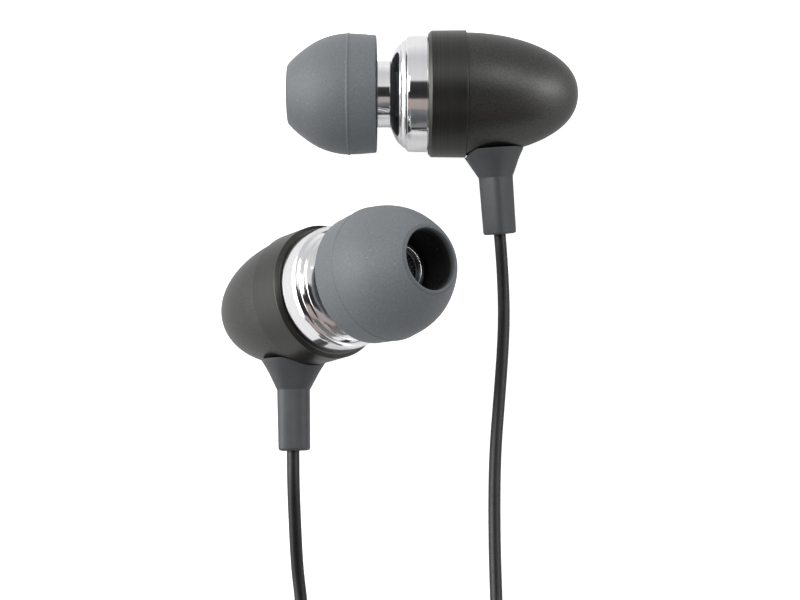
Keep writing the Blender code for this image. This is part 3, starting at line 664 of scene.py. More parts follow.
@dataclass
class Studio:
    """The photographer's table: camera, light tent and a white sheet lit from below.

    Attributes:
        elevation: the camera's, in degrees.
        eye: where it stands. Lengths are in millimetres.
        floor_reach: half the side of the sheet.
        mirrored: what polished pieces see of the tent. Each entry is degrees from the camera towards the top
            of the view, and the brightness there: the dark opening that the camera looks through, the warm
            wall below it, and the white walls.
        cast: the same for the light that falls on matte pieces, before cast_strength.
        cast_lean: how much brighter that light is from the left than from straight above.
        side_walls: the brightness of the left wall and of the right one.
        side_from: degrees to the side where those walls start, and where they are whole.
        side_blend: how far across the middle the one wall's brightness turns to the other's.
        glow: what the sheet gives out towards the camera, and shine towards polished pieces.
        paper: the sheet's colour, and bounce its colour for the light it throws back on matte pieces.
    """

    elevation: float = 77.2
    eye: Point = (-0.189, -36.579, 140.212)
    lens: float = 64.20
    sensor: float = 36.0
    floor_reach: float = 3000.0
    mirrored: tuple[tuple[float, str], ...] = (
        (-180.0, "#FFFFFF"), (-78.0, "#8A8A8A"), (-66.0, "#7C7B7B"), (-48.0, "#757273"), (-43.0, "#67605E"),
        (-39.0, "#A99E9B"), (-18.5, "#B2A7A2"), (-16.0, "#3B3838"), (-4.0, "#2C2A2A"), (16.0, "#3C3C3C"),
        (19.5, "#E8E8E8"), (45.0, "#DCDCDC"), (70.0, "#D4D4D5"), (105.0, "#FAFAFA"), (180.0, "#FFFFFF"),
    )
    cast: tuple[tuple[float, str], ...] = (
        (-180.0, "#A4A4A4"), (-77.0, "#949494"), (-25.0, "#989898"), (5.0, "#FFFFFF"), (180.0, "#F6F6F6"),
    )
    cast_strength: float = 1.08
    side_walls: tuple[float, float] = (5.2, 1.6)
    cast_lean: float = 0.72
    side_from: tuple[float, float] = (42.0, 62.0)
    side_blend: float = 0.3
    glow: float = 0.85
    shine: float = 0.16
    paper: str = "#F4F4F4"
    bounce: str = "#D2D2D2"
    softboxes: tuple[Softbox, ...] = (
        Softbox("nose_softbox", 57.0, 10.0, 0.55, 0.24, 0.24, 0.74),
        Softbox("shell_softbox", 27.0, 28.0, 0.55, 0.30, 0.12, 0.40),
        Softbox("left_softbox", -48.0, 12.0, 0.55, 0.28, 0.46, 2.00),
    )

    def axes(self) -> tuple[Vector, Vector, Vector]:
        """The camera's right, its up and the way back to it from the object."""
        lift = math.radians(self.elevation)
        up = Vector((0.0, math.sin(lift), math.cos(lift)))
        back = Vector((0.0, -math.cos(lift), math.sin(lift)))
        return Vector((1.0, 0.0, 0.0)), up, back

    def build(self) -> None:
        """Make the camera, the light and the floor."""
        bpy.context.scene.view_settings.view_transform = "Standard"
        self.add_camera()
        self.add_tent()
        for box in self.softboxes:
            self.add_softbox(box)
        self.add_floor()

    def add_camera(self) -> None:
        """Stand the camera where the photograph was taken from."""
        right, up, back = self.axes()
        data = bpy.data.cameras.new("camera")
        data.lens, data.sensor_width = self.lens, self.sensor
        data.clip_start, data.clip_end = 0.01, 20.0
        camera = in_scene("camera", data)
        camera.matrix_world = placed(*self.eye) @ Matrix((right, up, back)).transposed().to_4x4()
        bpy.context.scene.camera = camera

    def walls(self, tree: bpy.types.NodeTree, share: Socket, bands: Sequence[tuple[float, str]]) -> Socket:
        """Brightness of the tent by the angle from the camera.

        Args:
            tree: the world's nodes.
            share: the angle, from 0 at -180 degrees to 1 at 180.
            bands: angles in degrees with the colour there.

        Returns:
            The colour socket.
        """
        ramp = add_node(tree, "ShaderNodeValToRGB", links={"Fac": share})
        stops = ramp.color_ramp.elements
        while len(stops) < len(bands):
            stops.new(0.5)
        for stop, (degrees, colour) in zip(stops, bands):
            stop.position, stop.color = degrees / 360 + 0.5, linear(colour)
        return (ramp, "Color")

    def add_tent(self) -> None:
        """Light the surroundings by direction, with the bands only where polished pieces mirror them.

        The bands can only be told apart from the plain light by following rays to the walls, so the world
        isn't sampled as a lamp.
        """
        _, up, back = self.axes()
        world = bpy.data.worlds.new("light_tent")
        bpy.context.scene.world = world
        world.cycles.sampling_method = "NONE"
        world.use_nodes = True
        tree = world.node_tree
        tree.nodes.clear()
        toward = (add_node(tree, "ShaderNodeTexCoord"), "Generated")
        dots = ({"operation": "DOT_PRODUCT", 1: axis} for axis in (up, back))
        rise, away = (add_node(tree, "ShaderNodeVectorMath", dot, {0: toward}) for dot in dots)
        links = {0: (rise, "Value"), 1: (away, "Value")}
        angle = add_node(tree, "ShaderNodeMath", {"operation": "ARCTAN2"}, links)
        settings = {"operation": "MULTIPLY_ADD", 1: 1 / TURN, 2: 0.5}
        share = (add_node(tree, "ShaderNodeMath", settings, {0: (angle, 0)}), 0)
        split = add_node(tree, "ShaderNodeSeparateXYZ", links={"Vector": toward})
        sideways = add_node(tree, "ShaderNodeMath", {"operation": "ABSOLUTE"}, {0: (split, "X")})
        start, whole = (math.sin(math.radians(degrees)) for degrees in self.side_from)
        settings = {"interpolation_type": "SMOOTHSTEP", "From Min": start, "From Max": whole}
        side = add_node(tree, "ShaderNodeMapRange", settings, {"Value": (sideways, 0)})
        settings = dict(zip(SPAN, (-self.side_blend, self.side_blend, *self.side_walls)))
        wall = add_node(tree, "ShaderNodeMapRange", settings, {"Value": (split, "X")})
        links = {0: (side, "Result"), 6: self.walls(tree, share, self.mirrored), 7: (wall, "Result")}
        mirror = add_node(tree, "ShaderNodeMix", {"data_type": "RGBA"}, links)
        reflected = add_node(tree, "ShaderNodeBackground", {"Strength": 1.0}, {"Color": (mirror, 2)})
        slope = -self.cast_lean * self.cast_strength
        settings = {"operation": "MULTIPLY_ADD", 1: slope, 2: self.cast_strength}
        lean = add_node(tree, "ShaderNodeMath", settings, {0: (split, "X")})
        links = {"Color": self.walls(tree, share, self.cast), "Strength": (lean, 0)}
        fallen = add_node(tree, "ShaderNodeBackground", links=links)
        ray = add_node(tree, "ShaderNodeLightPath")
        links = {0: (ray, "Is Diffuse Ray"), 1: (reflected, "Background"), 2: (fallen, "Background")}
        light = add_node(tree, "ShaderNodeMixShader", links=links)
        add_node(tree, "ShaderNodeOutputWorld", links={"Surface": (light, "Shader")})

    def add_softbox(self, box: Softbox) -> None:
        """Hang one softbox."""
        right, up, back = self.axes()
        aside, lift = math.radians(box.right), math.radians(box.up)
        toward = (back * math.cos(aside) + right * math.sin(aside)) * math.cos(lift) + up * math.sin(lift)
        data = bpy.data.lights.new(box.name, "AREA")
        data.shape, data.size, data.size_y, data.energy = "RECTANGLE", box.width, box.height, box.power
        light = in_scene(box.name, data)
        light.visible_diffuse = False
        light.rotation_mode = "QUATERNION"
        light.rotation_quaternion = toward.to_track_quat("Z", "Y")
        light.location = toward * box.distance

    def add_floor(self) -> None:
        """Lay the white sheet that the earphones lie on. Its glow doesn't light the matte pieces."""
        shape = bmesh.new()
        bmesh.ops.create_grid(shape, x_segments=8, y_segments=8, size=self.floor_reach * MM)
        mesh = bpy.data.meshes.new("lit_sheet")
        shape.to_mesh(mesh)
        shape.free()
        floor = in_scene("lit_sheet", mesh)
        opal = Finish("white_opal_sheet", "", self.paper, self.paper, 400.0, (0.90, 0.95), 2.0, 0.001)
        sheet = opal.material()
        tree = sheet.node_tree
        ray = add_node(tree, "ShaderNodeLightPath")
        settings = {"operation": "MULTIPLY", 1: self.shine}
        shine = add_node(tree, "ShaderNodeMath", settings, {0: (ray, "Is Glossy Ray")})
        settings = {"operation": "MULTIPLY_ADD", 1: self.glow}
        glow = add_node(tree, "ShaderNodeMath", settings, {0: (ray, "Is Camera Ray"), 2: (shine, 0)})
        settings = {"data_type": "RGBA", 6: linear(self.paper), 7: linear(self.bounce)}
        tone = add_node(tree, "ShaderNodeMix", settings, {0: (ray, "Is Diffuse Ray")})
        shader = tree.nodes["Principled BSDF"]
        shader.inputs["Emission Color"].default_value = (1.0, 1.0, 1.0, 1.0)
        tree.links.new(glow.outputs[0], shader.inputs["Emission Strength"])
        tree.links.new(tone.outputs[2], shader.inputs["Base Color"])
        mesh.materials.append(sheet)


# Cable.


@dataclass(frozen=True)
class Winding:
    """A flat coil wound clockwise that spirals in and out again, a layer higher at each reversal.

    The centre is the middle of the lowest layer, mean the mean radius and pitch the spacing of the turns, in
    millimetres. The cord comes in at the angle entry and goes out at the angle leave, in degrees.
    """

    centre: Point
    mean: float
    pitch: float
    layers: int
    turns: int
    entry: float
    leave: float
    per_turn: int = 60

    def sweep(self) -> float:
        """The whole angle wound, in radians."""
        return math.radians(self.entry - self.leave) + TURN * self.turns

    def swing(self) -> float:
        """The distance between a layer's innermost and outermost turns."""
        return self.pitch * self.sweep() / self.layers / TURN

    def points(self, diameter: float, hand: int) -> np.ndarray:
        """The coil's centreline.

        Args:
            diameter: the cord's diameter, in millimetres.
            hand: -1 to mirror the coil across x = 0.

        Returns:
            The points as rows, in millimetres.
        """
        sweep, entry, leave = self.sweep(), math.radians(self.entry), math.radians(self.leave)
        turned_by = np.linspace(0.0, sweep, round(self.per_turn * sweep / TURN) + 1)
        per_layer = sweep / self.layers
        layer, part = np.divmod(turned_by / per_layer, 1.0)
        radius = self.mean + self.swing() * (0.5 - np.where(layer % 2 == 0, part, 1 - part))
        height = np.zeros_like(radius)
        for reversal in range(1, self.layers):
            share = np.clip((turned_by - reversal * per_layer) / math.pi + 0.5, 0.0, 1.0)
            height += self.pitch * share * share * (3 - 2 * share)
        angle = entry - turned_by
        coil = np.column_stack([radius * np.cos(angle), radius * np.sin(angle), height]) + self.centre
        into, out = (np.array((math.sin(at), -math.cos(at), 0.0)) * diameter for at in (entry, leave))
        coil = np.vstack([coil[:1] - into, coil, coil[-1:] + out])
        coil[:, 0] *= hand
        return coil


@dataclass
class CoilTie(SubAssembly):
    """A moulded rubber band that closes round a coil's bundle.

    The room for the bundle lies between the radii near and far from the centre, and below top. The wall and
    width are the band's own, and its path turns on radii of corner. The hand is -1 where it stands on the
    coil's left. It clears the table by bottom_gap.
    """

    name: str
    centre: tuple[float, float]
    near: float
    far: float
    top: float
    wall: float
    width: float
    hand: int = 1
    corner: float = 0.8
    bottom_gap: float = 0.02

    def build(self) -> bpy.types.Object:
        """Draw the band with rounded edges and a shallow groove between two raised lips.

        Returns:
            The band.
        """
        room = ((self.near, self.wall), (self.far, self.wall), (self.far, self.top), (self.near, self.top))
        path = eased([Corner(*at, self.corner) for at in room], closed=True, steps=10)
        ahead = np.roll(path, -1, axis=0) - np.roll(path, 1, axis=0)
        normal = np.column_stack([ahead[:, 1], -ahead[:, 0]]) / np.linalg.norm(ahead, axis=1)[:, None]
        half, lip, groove = self.width / 2, 0.32 * self.width / 2, 0.12 * self.wall
        outer = self.wall - self.bottom_gap
        section = (
            (0.0, -half, 0.12), (0.0, half, 0.12), (outer, half, 0.16), (outer, half - lip, 0.05),
            (outer - groove, half - lip - groove, 0.05), (outer - groove, -half + lip + groove, 0.05),
            (outer, -half + lip, 0.05), (outer, -half, 0.16),
        )
        edge = eased(corners_of(section), closed=True)
        out = path[:, None, :] + normal[:, None, :] * edge[None, :, :1]
        across = np.broadcast_to(edge[None, :, 1], out.shape[:2])
        columns = np.stack([out[..., 0] * self.hand, across, out[..., 1]], axis=-1)
        mesh = skin(self.name, columns, True)
        return self.show(self.name, mesh, RELIEF_RUBBER, Body.SET, [self.name], placed(*self.centre, 0.0))


@dataclass
class Cord(SubAssembly):
    """One cord of the cable: a first stretch, a coil that stores its spare length, and a last stretch.

    Lengths are in millimetres. The band is the wall and width of its tie, and tie_gap the room inside that.
    Each end runs on into its fitting by its length in buried. The hand is -1 where the coil is mirrored.
    """

    name: str
    diameter: float
    length: float
    first: Sequence[Point]
    winding: Winding
    last: Sequence[Point]
    hand: int = 1
    far_end: str = "fitting"
    buried: tuple[float, float] = (1.2, 0.9)
    band: tuple[float, float] = (0.5, 2.2)
    tie_gap: float = 0.3

    def build(self) -> bpy.types.Object:
        """Draw the cord as one unbroken strand.

        Returns:
            The cord.
        """
        step = 0.4 * self.diameter
        first, last = smooth_line(self.first, step), smooth_line(self.last, step)
        coil = self.winding.points(self.diameter, self.hand)
        head = first[0] - (first[1] - first[0]) / step * self.buried[0]
        tail = last[-1] + (last[-1] - last[-2]) / step * self.buried[1]
        line = np.vstack([head[None], first, coil, last, tail[None]])
        keep = np.concatenate([[True], np.linalg.norm(np.diff(line, axis=0), axis=1) > 0.02])
        strand = strands(self.name, [line[keep]], self.diameter, 6)
        nodes = [f"{self.name}_{part}" for part in ("run", "coil", "tail")]
        return self.show(self.name, strand, CORD_JACKET, Body.SET, nodes)

    def tie(self) -> bpy.types.Object:
        """Close a band round the coil.

        Returns:
            The band.
        """
        coil, room = self.winding, self.diameter / 2 + self.tie_gap
        spare = coil.swing() / 2 + room
        x, y, z = coil.centre
        top = z + coil.pitch * (coil.layers - 1) + room
        near, far = coil.mean - spare, coil.mean + spare
        return CoilTie(f"{self.name}_tie", (x * self.hand, y), near, far, top, *self.band, self.hand).build()

    def declare(self, cord: bpy.types.Object, on_it: Sequence[bpy.types.Object]) -> None:
        """Take the cord and the pieces on it, and do nothing with them.

        Args:
            cord: the piece that build made. Not used.
            on_it: the separate pieces on it. Not used.
        """


# Earpieces.


@dataclass(frozen=True)
class Lie:
    """How an earpiece lies: its seam's centre in millimetres, and three angles in degrees."""

    seam: Point
    heading: float
    elevation: float
    roll: float

    def frame(self) -> Matrix:
        """The earpiece's own frame, with local Z along its axis and local -Y towards the cable."""
        heading, elevation = math.radians(self.heading), math.radians(self.elevation)
        level = math.cos(elevation)
        axis = Vector((level * math.cos(heading), level * math.sin(heading), math.sin(elevation)))
        side = Vector((0.0, 1.0, 0.0))
        side = (side - axis * side.dot(axis)).normalized()
        upright = Matrix((side.cross(axis), side, axis)).transposed().to_4x4()
        return placed(*self.seam) @ upright @ Matrix.Rotation(math.radians(self.roll), 4, "Z")


def along_earpiece(station: np.ndarray) -> np.ndarray:
    """Turn stations along an earpiece to its local z, in millimetres."""
    return SEAM_STATION - station


@dataclass
class EarpiecePart(SubAssembly):
    """Something in one of the earpieces, drawn in that earpiece's own frame."""

    side: Side
    frame: Matrix

    def named(self, part: str) -> str:
        """The name of a piece or a node on this side."""
        return f"{self.side.value}_{part}"

    def turned(self, part: str, corners: Sequence[Corner], finish: Finish, body: Body = Body.SET) -> None:
        """Turn a closed section about the earpiece's axis and put it in.

        Args:
            part: the piece's name without its side.
            corners: its section.
            finish: what it is made of.
            body: the body it rides on.
        """
        name = self.named(part)
        self.show(name, lathed(name, corners, along_earpiece), finish, body, [name], self.frame)


@dataclass
class EarTip(EarpiecePart):
    """Soft flanged tip: a dome with a low bead round it and an open skirt, over a core tube."""

    radius: float = 5.98
    mouth_radius: float = 2.72
    mouth_easing: float = 0.20
    bore_radius: float = 3.00
    core_radius: float = 3.72
    core_end: float = 6.30
    bead_height: float = 0.06
    bead_station: float = 6.22
    skirt_end: float = 8.94
    dome: tuple[Point, ...] = (
        (3.12, 0.29), (3.52, 0.69), (4.38, 1.74), (5.22, 3.06), (5.75, 4.50), (5.97, 5.90), (5.98, 6.08),
    )
    skirt: tuple[Point, ...] = ((5.96, 6.45), (5.94, 7.00), (5.89, 7.80), (5.83, 8.40))
    inside: tuple[Point, ...] = ((5.46, 8.80), (5.48, 7.20), (5.26, 5.20), (4.66, 3.60), (3.98, 2.90))

    def build(self) -> None:
        """Draw the tip as one turned ring of silicone."""
        bead = self.radius + self.bead_height
        corners = [
            Corner(self.mouth_radius, 1.25, 0.08),
            Corner(self.mouth_radius, 0.0, self.mouth_easing),
            *curve_corners(self.dome, 0.12),
            Corner(bead, self.bead_station - 0.07, 0.03),
            Corner(bead, self.bead_station + 0.03, 0.03),
            Corner(5.965, self.bead_station + 0.11, 0.03),
            *curve_corners(self.skirt, 0.20),
            Corner(5.80, self.skirt_end, 0.24),
            Corner(5.46, self.skirt_end, 0.10),
            *curve_corners(self.inside, 0.30),
            Corner(self.core_radius, 3.20, 0.30),
            Corner(self.core_radius, self.core_end, 0.12),
            Corner(self.bore_radius, self.core_end, 0.12),
            Corner(self.bore_radius, 1.45, 0.10),
        ]
        self.turned("ear_tip", corners, TIP_SILICONE_WITH_BORE_SHADE, self.side.tip_body)


@dataclass
class FrontHousing(EarpiecePart):
    """Polished turning: barbed nozzle, neck, grooved shoulder, ring and the sleeve inside the collar.

    A corner without easing next to an eased one, here and on the collar, keeps the long flat beside it
    evenly shaded.
    """

    corners: Section = (
        (1.90, 3.65, 0.06), (2.25, 3.65, 0.10), (2.70, 4.00, 0.12), (2.70, 4.40, 0.10), (2.50, 4.60, 0.10),
        (2.50, 6.60, 0.04), (3.28, 6.60, 0.08), (3.28, 10.12, 0.0), (3.28, 10.32, 0.10), (3.42, 10.42, 0.08),
        (3.62, 10.47, 0.05), (4.31, 10.77, 0.8), (4.76, 11.06, 0.8), (4.97, 11.24, 0.05),
        (4.92, 11.31, 0.03), (5.10, 11.40, 0.08), (5.36, 11.72, 0.05), (5.31, 11.79, 0.03),
        (5.50, 11.88, 0.06), (5.66, 12.00, 0.08), (5.73, 12.32, 0.60), (5.73, 13.86, 0.0),
        (5.73, 13.97, 0.05), (5.30, 13.97, 0.02), (5.30, 17.20, 0.06), (4.75, 17.20, 0.06),
        (4.75, 12.70, 0.10), (1.90, 11.40, 0.10),
    )

    def build(self) -> None:
        """Draw the housing."""
        self.turned("front_housing", corners_of(self.corners), CHROME)


@dataclass
class Collar(EarpiecePart):
    """Black ring behind the polished metal, bevelled in front and eased behind."""

    corners: Section = (
        (5.55, 14.05, 0.04), (5.94, 14.05, 0.05), (6.25, 14.36, 0.08), (6.2513, 14.50, 0.0),
        (6.2789, 17.68, 0.0), (6.28, 17.80, 0.08), (5.55, 17.80, 0.04),
    )

    def build(self) -> None:
        """Draw the collar."""
        self.turned("collar", corners_of(self.corners), COLLAR_BLACK)


@dataclass
class NozzleMesh(EarpiecePart):
    """Woven wire disc in the nozzle, with the ring that holds it."""

    radius: float = 1.66
    station: float = 4.15
    wire: float = 0.09
    pitch: float = 0.24
    ring: Section = ((1.60, 3.98, 0.03), (1.88, 3.98, 0.03), (1.88, 4.32, 0.03), (1.60, 4.32, 0.03))

    def build(self) -> None:
        """Weave the disc over and under, and draw its ring."""
        name = self.named("nozzle_mesh")
        level = SEAM_STATION - self.station
        count = int(self.radius / self.pitch)
        lines = []
        for number in range(-count, count + 1):
            aside = number * self.pitch
            reach = math.sqrt(self.radius**2 - aside**2)
            run = np.arange(-reach, reach, self.pitch / 6)
            wave = np.cos(run / self.pitch * math.pi) * self.wire / 2 * (1 if number % 2 else -1)
            still = np.full_like(run, aside)
            lines.append(np.column_stack([run, still, level + wave]))
            lines.append(np.column_stack([still, run, level - wave]))
        self.show(name, strands(name, lines, self.wire, 1), STEEL_WIRE_WITH_PAINTED_SHADE, Body.SET, [name], self.frame)
        ring = lathed(name + "_ring", corners_of(self.ring), along_earpiece, sides=64)
        self.show(name + "_ring", ring, STEEL_WIRE_WITH_PAINTED_SHADE, Body.SET, (), self.frame)


INNER_FINISHES = {
    "driver_seal": DAMPING_FOAM,
    "driver_basket": DRIVER_STEEL,
    "diaphragm": DRIVER_FILM,
    "voice_coil": COIL_WIRE,
    "driver_yoke": DRIVER_STEEL,
    "driver_magnet": DRIVER_STEEL,
    "terminal_board": BOARD_RESIST,
    "rear_damper": DAMPING_FOAM,
    "cable_stop": CORD_JACKET,
}


@dataclass
class Driver(EarpiecePart):
    """The moving-coil driver and what lies behind it, whose turned solids keep their shapes."""

    nodes: dict[str, bpy.types.Object]

    def build(self) -> None:
        """Dress each solid."""
        for part, finish in INNER_FINISHES.items():
            node = self.nodes[self.named(part)]
            node.data.materials.clear()
            node.data.materials.append(finish.material())


@dataclass
class RearShell(EarpiecePart):
    """Hollow bullet with a spigot that seats in the collar and a hole where the strain relief enters."""

    relief_root: Matrix
    radius: float = 6.06
    front: float = 17.80
    nose: float = 28.97
    nose_power: float = 1.90
    nose_root: float = 0.452
    inner_radius: float = 4.95
    nose_wall: float = 1.10
    spigot_radius: float = 5.30
    spigot_front: float = 17.45
    hole_radius: float = 1.50
    hole_reach: tuple[float, float] = (3.6, 7.0)

    def outline(self, share: np.ndarray | float) -> np.ndarray | float:
        """The bullet's radius as a part of its full one, from share 0 at the seam to 1 at the nose."""
        return np.clip(1 - share**self.nose_power, 0.0, None) ** self.nose_root

    def bullet(self, radius: float, length: float, shares: np.ndarray) -> list[Corner]:
        """The turned curve from its full radius at the seam to its nose.

        Args:
            radius: the full radius.
            length: the distance from the seam to the nose.
            shares: where the points lie, from 0 at the seam to 1 at the nose.

        Returns:
            The curve's corners.
        """
        stations = SEAM_STATION + shares * length
        return [Corner(float(r), float(s)) for r, s in zip(radius * self.outline(shares), stations)]

    def build(self) -> None:
        """Draw the shell and cut its hole."""
        length = self.nose - SEAM_STATION
        steps = np.sin(np.linspace(0.0, 1.0, 44) * math.pi / 2)
        outer_start, inner_start = 0.010, 0.05
        outer = self.bullet(self.radius, length, outer_start + (1 - outer_start) * steps)
        inner = self.bullet(
            self.inner_radius, length - self.nose_wall, inner_start + (1 - inner_start) * steps[::3]
        )
        corners = [
            *reversed(inner),
            Corner(self.inner_radius, self.spigot_front, 0.05),
            Corner(self.spigot_radius, self.spigot_front, 0.05),
            Corner(self.spigot_radius, self.front, 0.03),
            Corner(self.radius, self.front, 0.01),
            *outer,
        ]
        name = self.named("rear_shell")
        shell = lathed(name, corners, along_earpiece, closed=False)
        radius, (low, high) = self.hole_radius, self.hole_reach
        hole = corners_of(((0.0, low), (radius, low), (radius, high), (0.0, high)))
        cutter = lathed(name + "_hole", hole, lambda at: at, closed=False, sides=48)
        cutter.transform(self.relief_root)
        self.show(name, self.carved(shell, [cutter]), SHELL_BLACK, Body.SET, [name], self.frame)


@dataclass
class StrainRelief(EarpiecePart):
    """Rubber boot: a cone saddled to the shell and collar, then a rounded square stem, corners fore and aft.

    Heights run from the earpiece's axis along the relief, in millimetres. The cone's rim follows the body,
    but comes no nearer to the axis than top_level. Up to shift_start the cone stands forward by top_shift,
    which fades to nothing where the stem starts.
    """

    relief_root: Matrix
    shell: RearShell
    station: float
    lean: float
    saddle_gap: float = 0.05
    collar_radius: float = 6.28
    collar_end: float = 17.80
    neck_radius: float = 1.20
    neck_start: float = 4.10
    flare: Section = ((4.80, 3.47, 2.3), (6.50, 2.39, 2.6), (8.25, 1.50, 3.2))
    end_half: float = 1.45
    end: float = 13.95
    end_power: float = 3.2
    socket: tuple[float, float] = (0.70, 0.45)
    sides: int = 128
    top_shift: float = 0.22
    top_level: float = 5.38
    shift_start: float = 5.50
    step_length: float = 0.30

    def body_radius(self, station: float) -> float:
        """Outside radius of the collar and the shell at a station, with a short slope for the step."""
        share = min(max((station - SEAM_STATION) / (self.shell.nose - SEAM_STATION), 0.0), 1.0)
        bullet = self.shell.radius * self.shell.outline(share)
        step = (self.collar_end, self.collar_end + self.step_length)
        return float(np.interp(station, step, (self.collar_radius, bullet)))

    def saddle(self, radius: float, angle: float) -> float:
        """Height at which the relief meets the body.

        Args:
            radius: distance from the relief's axis.
            angle: direction from the relief's axis.

        Returns:
            The height along the relief.
        """
        across, fore = radius * math.cos(angle), radius * math.sin(angle) + self.top_shift
        tilt = math.pi / 2 + self.lean
        height = 6.0
        for _ in range(12):
            z = fore * math.sin(tilt) + height * math.cos(tilt) + SEAM_STATION - self.station
            room = self.body_radius(SEAM_STATION - z) + self.saddle_gap
            depth = math.sqrt(max(room**2 - across**2, 0.0))
            height = (depth + fore * math.cos(tilt)) / math.sin(tilt)
        return max(height, self.top_level)

    def flare_radius(self, height: float, angle: float) -> float:
        """Distance from the axis to the cone's skin at a height and an angle."""
        heights, halves, powers = zip(*self.flare)
        half, power = np.interp(height, heights, halves), np.interp(height, heights, powers)
        return float(section_radius(half, power, angle - math.pi / 4))

    def column(self, angle: float) -> np.ndarray:
        """The relief's outline at an angle round its axis.

        Args:
            angle: direction from the relief's axis.

        Returns:
            Rows of (distance from the axis, height).
        """
        height = 6.0
        for _ in range(20):
            height = 0.5 * height + 0.5 * self.saddle(self.flare_radius(height, angle), angle)
        rim, neck, turn = self.flare_radius(height, angle), self.neck_radius, angle - math.pi / 4
        junction, stem_half, stem_power = self.flare[-1]
        radius, depth = self.socket
        corners = [
            Corner(0.0, self.neck_start),
            Corner(neck, self.neck_start, 0.10),
            Corner(neck, self.saddle(neck, angle), 0.08),
            *(Corner(r, self.saddle(r, angle)) for r in np.linspace(neck + 0.15, rim - 0.15, 6)),
            Corner(rim, height, 0.10),
            *(Corner(self.flare_radius(h, angle), h) for h in np.linspace(height, junction, 8)[1:-1]),
            Corner(float(section_radius(stem_half, stem_power, turn)), junction, 0.10),
            Corner(float(section_radius(self.end_half, self.end_power, turn)), self.end, 0.26),
            Corner(radius, self.end, 0.06),
            Corner(radius, self.end - depth, 0.04),
            Corner(0.0, self.end - depth),
        ]
        return eased(corners, closed=False)

    def build(self) -> None:
        """Draw the relief."""
        columns = []
        for angle in np.arange(self.sides) * TURN / self.sides:
            out, height = self.column(float(angle)).T
            shift = self.top_shift * np.interp(height, [self.shift_start, self.flare[-1][0]], [1.0, 0.0])
            columns.append(np.column_stack([out * math.cos(angle), out * math.sin(angle) + shift, height]))
        name = self.named("strain_relief")
        mesh = skin(name, np.array(columns), False)
        self.show(name, mesh, RELIEF_RUBBER, Body.SET, [name], self.frame @ self.relief_root)


@dataclass
class Earpiece:
    """One earpiece with all its pieces."""

    side: Side
    lie: Lie
    nodes: dict[str, bpy.types.Object]
    relief_station: float = 20.20
    relief_lean: float = 4.4

    def build(self) -> None:
        """Build every piece of the earpiece in its own frame."""
        frame = self.lie.frame()
        lean = math.radians(self.relief_lean)
        root = placed(0.0, 0.0, SEAM_STATION - self.relief_station, 90.0 + self.relief_lean)
        EarTip(self.side, frame).build()
        FrontHousing(self.side, frame).build()
        NozzleMesh(self.side, frame).build()
        Driver(self.side, frame, self.nodes).build()
        Collar(self.side, frame).build()
        shell = RearShell(self.side, frame, root)
        shell.build()
        StrainRelief(self.side, frame, root, shell, self.relief_station, lean).build()


# Slider, splitter and plug.


@dataclass
class BarrelMoulding(SubAssembly):
    """A moulding on the leads with rounded sections along local Z, which points along -Y from y = start."""

    start: float
    level: float
    sides: int = 96

    def mould(
        self, name: str, plan: Sequence[Point], holes: Sequence[bpy.types.Mesh], body: Body
    ) -> bpy.types.Object:
        """Skin the sections, close both ends, cut the holes and put the moulding in.

        Args:
            name: the piece's name.
            plan: station, half width, half height and roundness of each section.
            holes: the cutters.
            body: the body it rides on.

        Returns:
            The moulding.
        """
        angles = np.arange(self.sides) * TURN / self.sides
        c, s = np.cos(angles), np.sin(angles)
        first, last = ((plan[end][0], 0.0, 0.0, 2.0) for end in (0, -1))
        rows = []
        for at, wide, high, power in (first, *plan, last):
            x = wide * np.copysign(np.abs(c) ** (2 / power), c)
            y = high * np.copysign(np.abs(s) ** (2 / power), s)
            rows.append(np.column_stack([x, y, np.full(self.sides, at)]))
        mesh = self.carved(skin(name, np.array(rows).transpose(1, 0, 2), False), holes)
        place = placed(0.0, self.start, self.level, 90.0)
        return self.show(name, mesh, MOULDED_BLACK, body, [name], place)

    def drill(
        self, radius: float, mouth: float, end: float, x: float, lip: float, through: bool = False
    ) -> bpy.types.Mesh:
        """A cutter for a round hole with a chamfered lip at its mouth, and at its end if it goes through.

        Args:
            radius: the hole's radius.
            mouth: the face that it opens in.
            end: where it ends.
            x: its distance from the middle.
            lip: width of the chamfers.
            through: whether it comes out at its end.

        Returns:
            The cutter.
        """
        ahead = math.copysign(1.0, end - mouth)
        section = [(0.0, mouth - ahead), (radius + lip + 1.0, mouth - ahead), (radius, mouth + lip * ahead)]
        if through:
            section += [(radius, end - lip * ahead), (radius + lip + 1.0, end + ahead), (0.0, end + ahead)]
        else:
            section += [(radius, end), (0.0, end)]
        mesh = lathed("drill", corners_of(section), lambda at: at, closed=False, sides=40)
        mesh.transform(placed(x, 0.0, 0.0))
        return mesh


@dataclass
class Slider(BarrelMoulding):
    """Flattened barrel that runs along both leads, with a channel for each and grip ribs round it."""

    start: float = -86.40
    level: float = 1.75
    length: float = 7.00
    half_width: float = 2.75
    half_height: float = 1.70
    roundness: float = 2.8
    channel_radius: float = 0.90
    spread: float = 1.15
    lip: float = 0.15
    ribs: int = 3
    rib_pitch: float = 1.1

    def build(self) -> None:
        """Draw the slider."""
        half = self.length / 2
        line = [Corner(0.45, -half), Corner(0.0, -half, 0.3)]
        for rib in range(self.ribs):
            middle = (rib - (self.ribs - 1) / 2) * self.rib_pitch
            rise = ((0.0, -0.28), (0.14, -0.14), (0.14, 0.14), (0.0, 0.28))
            line += [Corner(inset, middle + along, 0.05) for inset, along in rise]
        line += [Corner(0.0, half, 0.3), Corner(0.45, half)]
        plan = [
            (float(at), self.half_width - float(inset), self.half_height - float(inset), self.roundness)
            for inset, at in eased(line, closed=False)
        ]
        beside = (-self.spread, self.spread)
        holes = [self.drill(self.channel_radius, -half, half, x, self.lip, through=True) for x in beside]
        self.mould("cinch_slider", plan, holes, Body.SLIDER)


